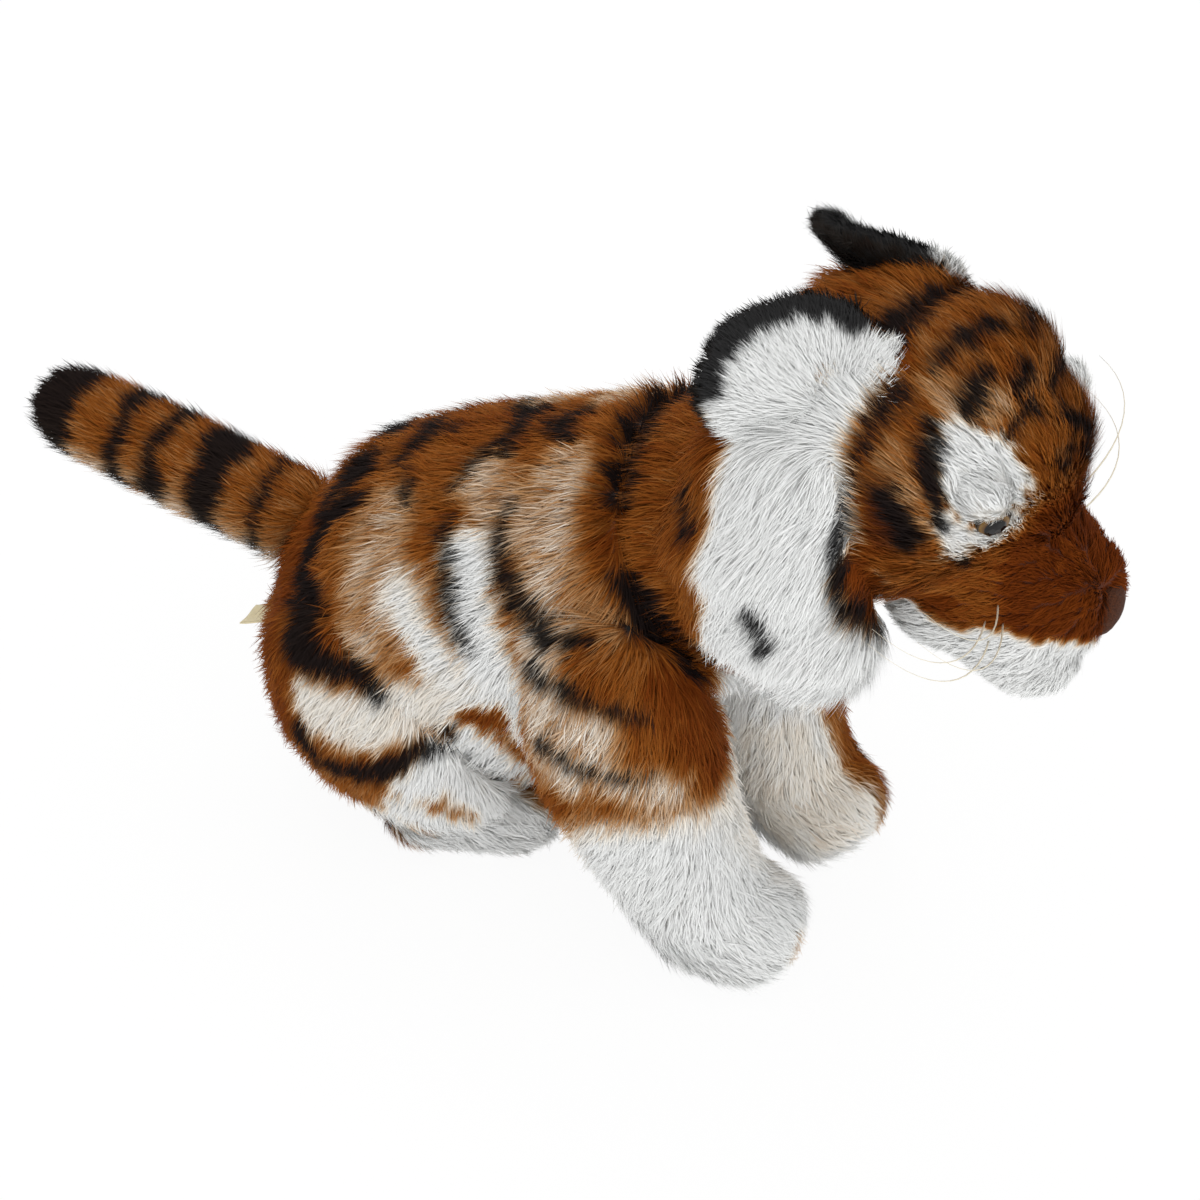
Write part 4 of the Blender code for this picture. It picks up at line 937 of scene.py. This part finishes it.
# %% Strands on the points
points = store(scatter.outputs["Points"], "toss", toss)
points = store(points, "up", scatter.outputs["Normal"], "FLOAT_VECTOR")
source = node("GeometryNodeObjectInfo")
grow = node("GeometryNodeInstanceOnPoints")
real = node("GeometryNodeRealizeInstances")
join((given["Strand"], source.inputs["Object"]), (points, grow.inputs["Points"]),
     (source.outputs["Geometry"], grow.inputs["Instance"]),
     (turned.outputs[0], grow.inputs["Rotation"]),
     (combined(long, wide, high), grow.inputs["Scale"]), (grow.outputs[0], real.inputs[0]))
print(len(fur_nodes.nodes), "fur nodes so far")

# %% [markdown]
# No two tufts are alike, so a strand takes coat and ink from the hide under it and
# tosses them a little. A material could do this, but a chart lives through every export.
# It needs some area, so the edges and ends of a strand are a little apart on it.

# %% Colour of a strand
TIP_PAINTED_LIGHT, INK_GAIN, INK_FROM, INK_TOSS = -0.07, 2.3, -0.55, 0.22
COAT_LEAST, INK_LEAST, CHART_MOST = 0.006, 0.004, 0.97
CHART_WIDTH, CHART_LENGTH = 0.002, 0.008


def sampled(key):
    made = node("GeometryNodeSampleNearestSurface", data_type="FLOAT")
    join((given["Geometry"], made.inputs["Mesh"]), (named(key), made.inputs["Value"]),
         (here, made.inputs["Sample Position"]))
    return made.outputs["Value"]


def limited(value, least):
    return maths("MINIMUM", maths("MAXIMUM", value, least), CHART_MOST)


coat = maths("MULTIPLY_ADD", sampled("streak"), named("toss"), sampled("coat"))
# Each strand is painted lighter towards its tip: painted shade at the root, where strands shade each other,
# and painted light at the tip.
coat = limited(maths("MULTIPLY_ADD", named("along"), TIP_PAINTED_LIGHT, coat), COAT_LEAST)
ink = maths("MULTIPLY_ADD", sampled("ink"), INK_GAIN, INK_FROM)
ink = limited(maths("MULTIPLY_ADD", named("toss"), INK_TOSS, ink), INK_LEAST)
chart = combined(maths("MULTIPLY_ADD", named("aside"), CHART_WIDTH, coat),
                 maths("MULTIPLY_ADD", named("along"), CHART_LENGTH, ink))
charted = store(real.outputs[0], "OFBake", chart, "FLOAT2", "CORNER")
print(len(fur_nodes.nodes), "fur nodes so far")

# %% End of the fur nodes
STRAND_FLOOR = 0.0005
x, y, z = separated(here)
settle = node("GeometryNodeSetPosition")
paint = node("GeometryNodeSetMaterial")
join((charted, settle.inputs["Geometry"]),
     (combined(x, y, maths("MAXIMUM", z, STRAND_FLOOR)), settle.inputs["Position"]),
     (settle.outputs[0], paint.inputs["Geometry"]), (given["Material"], paint.inputs["Material"]),
     (paint.outputs[0], node("NodeGroupOutput").inputs[0]))
sockets = {item.name: item.identifier for item in fur_nodes.interface.items_tree if item.in_out == "INPUT"}
print(len(fur_nodes.nodes), "fur nodes in all")

# %% [markdown]
# ## Growing the fur
# The back has long plush in large locks, and the ears have small ones. One piece of fur
# would be too heavy and couldn't ride with the bodies. So each hide has its own, and the
# torso's and the head's are split again.

# %% Kinds and shares of fur
LOCKS = {  # kind of hide: strands per mm2, width, lift, lock size, lock pull, stray
    "torso": (2.8, 0.00040, 0.85, 0.0070, 1.0, 0.25),
    "neck": (1.3, 0.00045, 0.8, 0.006, 0.8, 0.25),
    "head": (3.1, 0.00035, 0.72, 0.0055, 0.8, 0.24),
    "ear": (3.8, 0.00033, 0.75, 0.0035, 0.4, 0.28),
    "front_leg": (2.4, 0.00039, 0.8, 0.0060, 1.0, 0.26),
    "hind_leg": (2.8, 0.00039, 0.8, 0.0060, 1.0, 0.26),
    "tail": (2.8, 0.00040, 0.9, 0.0045, 0.6, 0.26),
}
BACK_HALF, BELLY_HALF, FACE_FROM = 0.030, 0.035, 0.018


def shares_of(name, p, n):
    """The shares that a hide's fur is split into: name and where it grows."""
    left = p[:, 0] > 0
    if name == "hide_torso":
        top = (np.abs(p[:, 0]) < BACK_HALF) & (n[:, 2] > 0.1)
        belly = (np.abs(p[:, 0]) < BELLY_HALF) & ~top
        flank = ~top & ~belly
        return {"back": top, "belly": belly, "flank_left": flank & left, "flank_right": flank & ~left}
    if name == "hide_head":
        face = (p - HEAD_MIDDLE) @ HEAD_FORWARD > FACE_FROM
        return {"face": face, "head_left": ~face & left, "head_right": ~face & ~left}
    return {name.replace("hide_", ""): np.ones(len(p), bool)}


print("fur shares of the head", list(shares_of("hide_head", *facts["hide_head"][:2])))

# %% [markdown]
# A blade that is lit by its flat side glitters, and real pile doesn't. Each strand takes
# the hide's normal and a little of its own, so the coat is lit as one soft form.

# %% Grow the fur
OWN_NORMAL, FIRST_SEED = 0.07, 7


def soften(mesh):
    """Custom normals from the hide's, and the helper values removed."""
    lit = (read(mesh.attributes["up"].data, "vector", kind=np.float32)
           + OWN_NORMAL * read(mesh.vertex_normals, "vector", kind=np.float32))
    lit /= np.linalg.norm(lit, axis=1)[:, None]
    mesh.normals_split_custom_set_from_vertices(lit)
    for key in ("up", "toss", "along", "aside"):
        mesh.attributes.remove(mesh.attributes[key])


furs = []
for number, name in enumerate(HIDES):
    per_mm2, *look = LOCKS[kind_of(name)]
    p, n, dense = facts[name]
    for share, inside in shares_of(name, p, n).items():
        guide = hides[name].data.copy()
        mask = guide.attributes.new("mask", "FLOAT", "POINT")
        mask.data.foreach_set("value", (dense * inside).astype(np.float32))
        obj = add_object(f"fur_{share}", guide)
        modifier = obj.modifiers.new("grow", "NODES")
        modifier.node_group = fur_nodes
        values = (per_mm2 * 1e6, *look, FIRST_SEED + number, strand, fur_material)
        for (key, _), value in zip(FUR_INPUTS, values):
            modifier[sockets[key]] = value
        mesh = plain_mesh(obj, obj.name)
        soften(mesh)
        bpy.data.meshes.remove(guide)
        furs.append((obj, HIDES[name][0]))
        print(obj.name, len(mesh.polygons) // 2, "strands,", len(mesh.polygons) * 3 // 2, "triangles")
bpy.data.objects.remove(strand, do_unlink=True)

# %% [markdown]
# ## Small parts
# The eyes are glossy domes with a painted iris, the nose is velour, the washers are
# plastic and the stuffing is fibre. They could be modelled again, but the CAD's meshes
# are good enough and only get materials: two tones over a noise, and rings for an iris.

# %% Small materials
IRIS_REACH = 0.008
IRIS = ((0.0, (0.004, 0.003, 0.003)), (0.46, (0.004, 0.003, 0.003)), (0.50, (0.08, 0.035, 0.006)),
        (0.66, (0.17, 0.09, 0.018)), (0.72, (0.04, 0.018, 0.005)), (0.80, (0.006, 0.005, 0.004)))


def two_tone(name, light, dark, scale, roughness, bump_height, specular=0.5):
    material, tree, shader = new_material(name, roughness, specular)
    noise = texture(tree, "ShaderNodeTexNoise", scale).outputs["Fac"]
    tree.links.new(colour_ramp(tree, noise, ((0.35, dark), (0.65, light))), shader.inputs["Base Color"])
    add_bump(tree, shader, noise, bump_height)
    return material


def eye_material(word):
    material, tree, shader = new_material(f"eye_{word}", 0.12, 0.30)
    points = read(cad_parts[f"eye_{word}"].data.vertices, "co")
    apex = points[np.argmin((points - HEAD_MIDDLE)[:, 1] - np.abs(points[:, 0]))]
    place = tree.nodes.new("ShaderNodeTexCoord").outputs["Object"]
    gap = vector_node(tree, "LENGTH", vector_node(tree, "SUBTRACT", place, tuple(apex)))
    iris = colour_ramp(tree, math_node(tree, "DIVIDE", gap, IRIS_REACH), IRIS)
    tree.links.new(iris, shader.inputs["Base Color"])
    return material


SMALL = {  # what the name of a CAD node has in it: its material
    "stuffing": two_tone("stuffing_fibre", (0.92, 0.92, 0.90), (0.75, 0.75, 0.74), 900, 1.0, 0.0008),
    "washer": two_tone("washer_plastic", (0.82, 0.82, 0.80), (0.76, 0.76, 0.74), 300, 0.5, 0.0001),
    "nose": two_tone("nose_velour", (0.085, 0.028, 0.012), (0.03, 0.011, 0.006), 2500, 0.7, 0.0003, 0.1),
    "whisker": two_tone("whisker_nylon", (0.80, 0.74, 0.60), (0.66, 0.60, 0.46), 400, 0.3, 0.00005),
    "eye_left": eye_material("left"),
    "eye_right": eye_material("right"),
}
for name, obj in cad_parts.items():
    chosen = next((material for key, material in SMALL.items() if key in name), None)
    if chosen:
        for slot in obj.material_slots:
            slot.material = chosen
print("small materials", list(SMALL))

# %% [markdown]
# ## Whiskers
# A whisker is a stiff nylon thread. It could be a curve with a bevel. The CAD's rod gives
# root and tip, and a tapered tube is built between them that bends back.

# %% Whiskers
WHISKER_PAD = np.array([0, -0.236, 0.203])
WHISKER_BACK = (0.0312, 0.0384, 0.0348, 0.0420)
WHISKER_ROOT, WHISKER_TIP, WHISKER_STEPS = 0.00030, 0.00007, 14
WHISKER_TURNS = (0, 1.257, 2.513, 3.770, 5.027)  # five sides


def whisker_piece(name, bend_back):
    points = read(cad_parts[name].data.vertices, "co")
    root = points[np.argmin(np.linalg.norm(points - WHISKER_PAD, axis=1))]
    tip = points[np.argmax(np.linalg.norm(points - root, axis=1))]
    bend = -HEAD_FORWARD * bend_back
    aside = tip - root - bend
    shape = bmesh.new()
    rings = []
    for step in range(WHISKER_STEPS + 1):
        share = step / WHISKER_STEPS
        centre = root + aside * math.sin(share * math.pi / 2) + bend * share ** 2
        radius = WHISKER_ROOT * (1 - share) + WHISKER_TIP
        rings.append([shape.verts.new(centre + radius * np.array([0, math.cos(turn), math.sin(turn)]))
                      for turn in WHISKER_TURNS])
    for a, b in zip(rings, rings[1:]):
        for side in range(len(a)):
            shape.faces.new((a[side], a[side - 1], b[side - 1], b[side]))
    shape.faces.new(rings[0])
    shape.faces.new(rings[-1][::-1])
    bmesh.ops.recalc_face_normals(shape, faces=shape.faces[:])
    data = mesh_from(shape, name + "_hair")
    data.shade_smooth()
    data.materials.append(SMALL["whisker"])
    obj = add_object(name + "_hair", data)
    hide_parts(name)
    return obj


whiskers = [whisker_piece(f"whisker_{word}_{number + 1}", bend_back)
            for word in ("left", "right") for number, bend_back in enumerate(WHISKER_BACK)]
print(len(whiskers), "whiskers")

# %% [markdown]
# ## Label
# A care label is a satin strip that is sewn in at the rump. It could be simulated as
# cloth, but it is small, so a grid with two low waves is enough. It stays blank.

# %% Label
LABEL_ROWS, LABEL_COLUMNS, LABEL_THICK = 12, 6, 0.0005
LABEL_OUT, LABEL_DOWN = 0.003, 0.001


def label_piece():
    low, high = (np.array(corner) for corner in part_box("label"))
    shape = bmesh.new()
    rows = []
    for down in range(LABEL_ROWS + 1):
        share = down / LABEL_ROWS
        row = []
        for across in range(LABEL_COLUMNS + 1):
            x = low[0] + (high[0] - low[0]) * across / LABEL_COLUMNS
            y = low[1] + (high[1] - low[1] + LABEL_OUT) * share
            lift = 0.0006 * math.sin(share * 5) + 0.0004 * math.sin(across * 1.1 + share * 2)
            row.append(shape.verts.new((x, y, high[2] + (low[2] - high[2] - LABEL_DOWN) * share + lift)))
        rows.append(row)
    for upper, lower in zip(rows, rows[1:]):
        for a in range(LABEL_COLUMNS):
            shape.faces.new((upper[a], lower[a], lower[a + 1], upper[a + 1]))
    obj = add_object("label_sheet", mesh_from(shape, "label_sheet"))
    obj.modifiers.new("thick", "SOLIDIFY").thickness = LABEL_THICK
    plain_mesh(obj, "label_sheet").shade_smooth()
    return obj


label = label_piece()
material, tree, shader = new_material("label_satin", 0.45)
weave = texture(tree, "ShaderNodeTexWave", 900)
weave.bands_direction = "X"
satin = colour_ramp(tree, weave.outputs["Fac"], ((0, (0.72, 0.60, 0.34)), (1, (0.86, 0.76, 0.50))))
tree.links.new(satin, shader.inputs["Base Color"])
add_bump(tree, shader, weave.outputs["Fac"], 0.0001)
label.data.materials.append(material)
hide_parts("label")
print("label sheet", len(label.data.vertices), "points")

# %% [markdown]
# ## Riding
# The plush moves with the limb that it is sewn around. Weights could bend it, but a body
# here is rigid, so every piece rides on one. The slots name what a piece is made of.

# %% Ride and finish
for name, obj in hides.items():
    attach(obj, HIDES[name][0])
for obj, body in furs:
    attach(obj, body)
for obj in whiskers:
    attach(obj, "head")
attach(label, "torso")
print("fur faces", sum(len(obj.data.polygons) for obj, _ in furs))
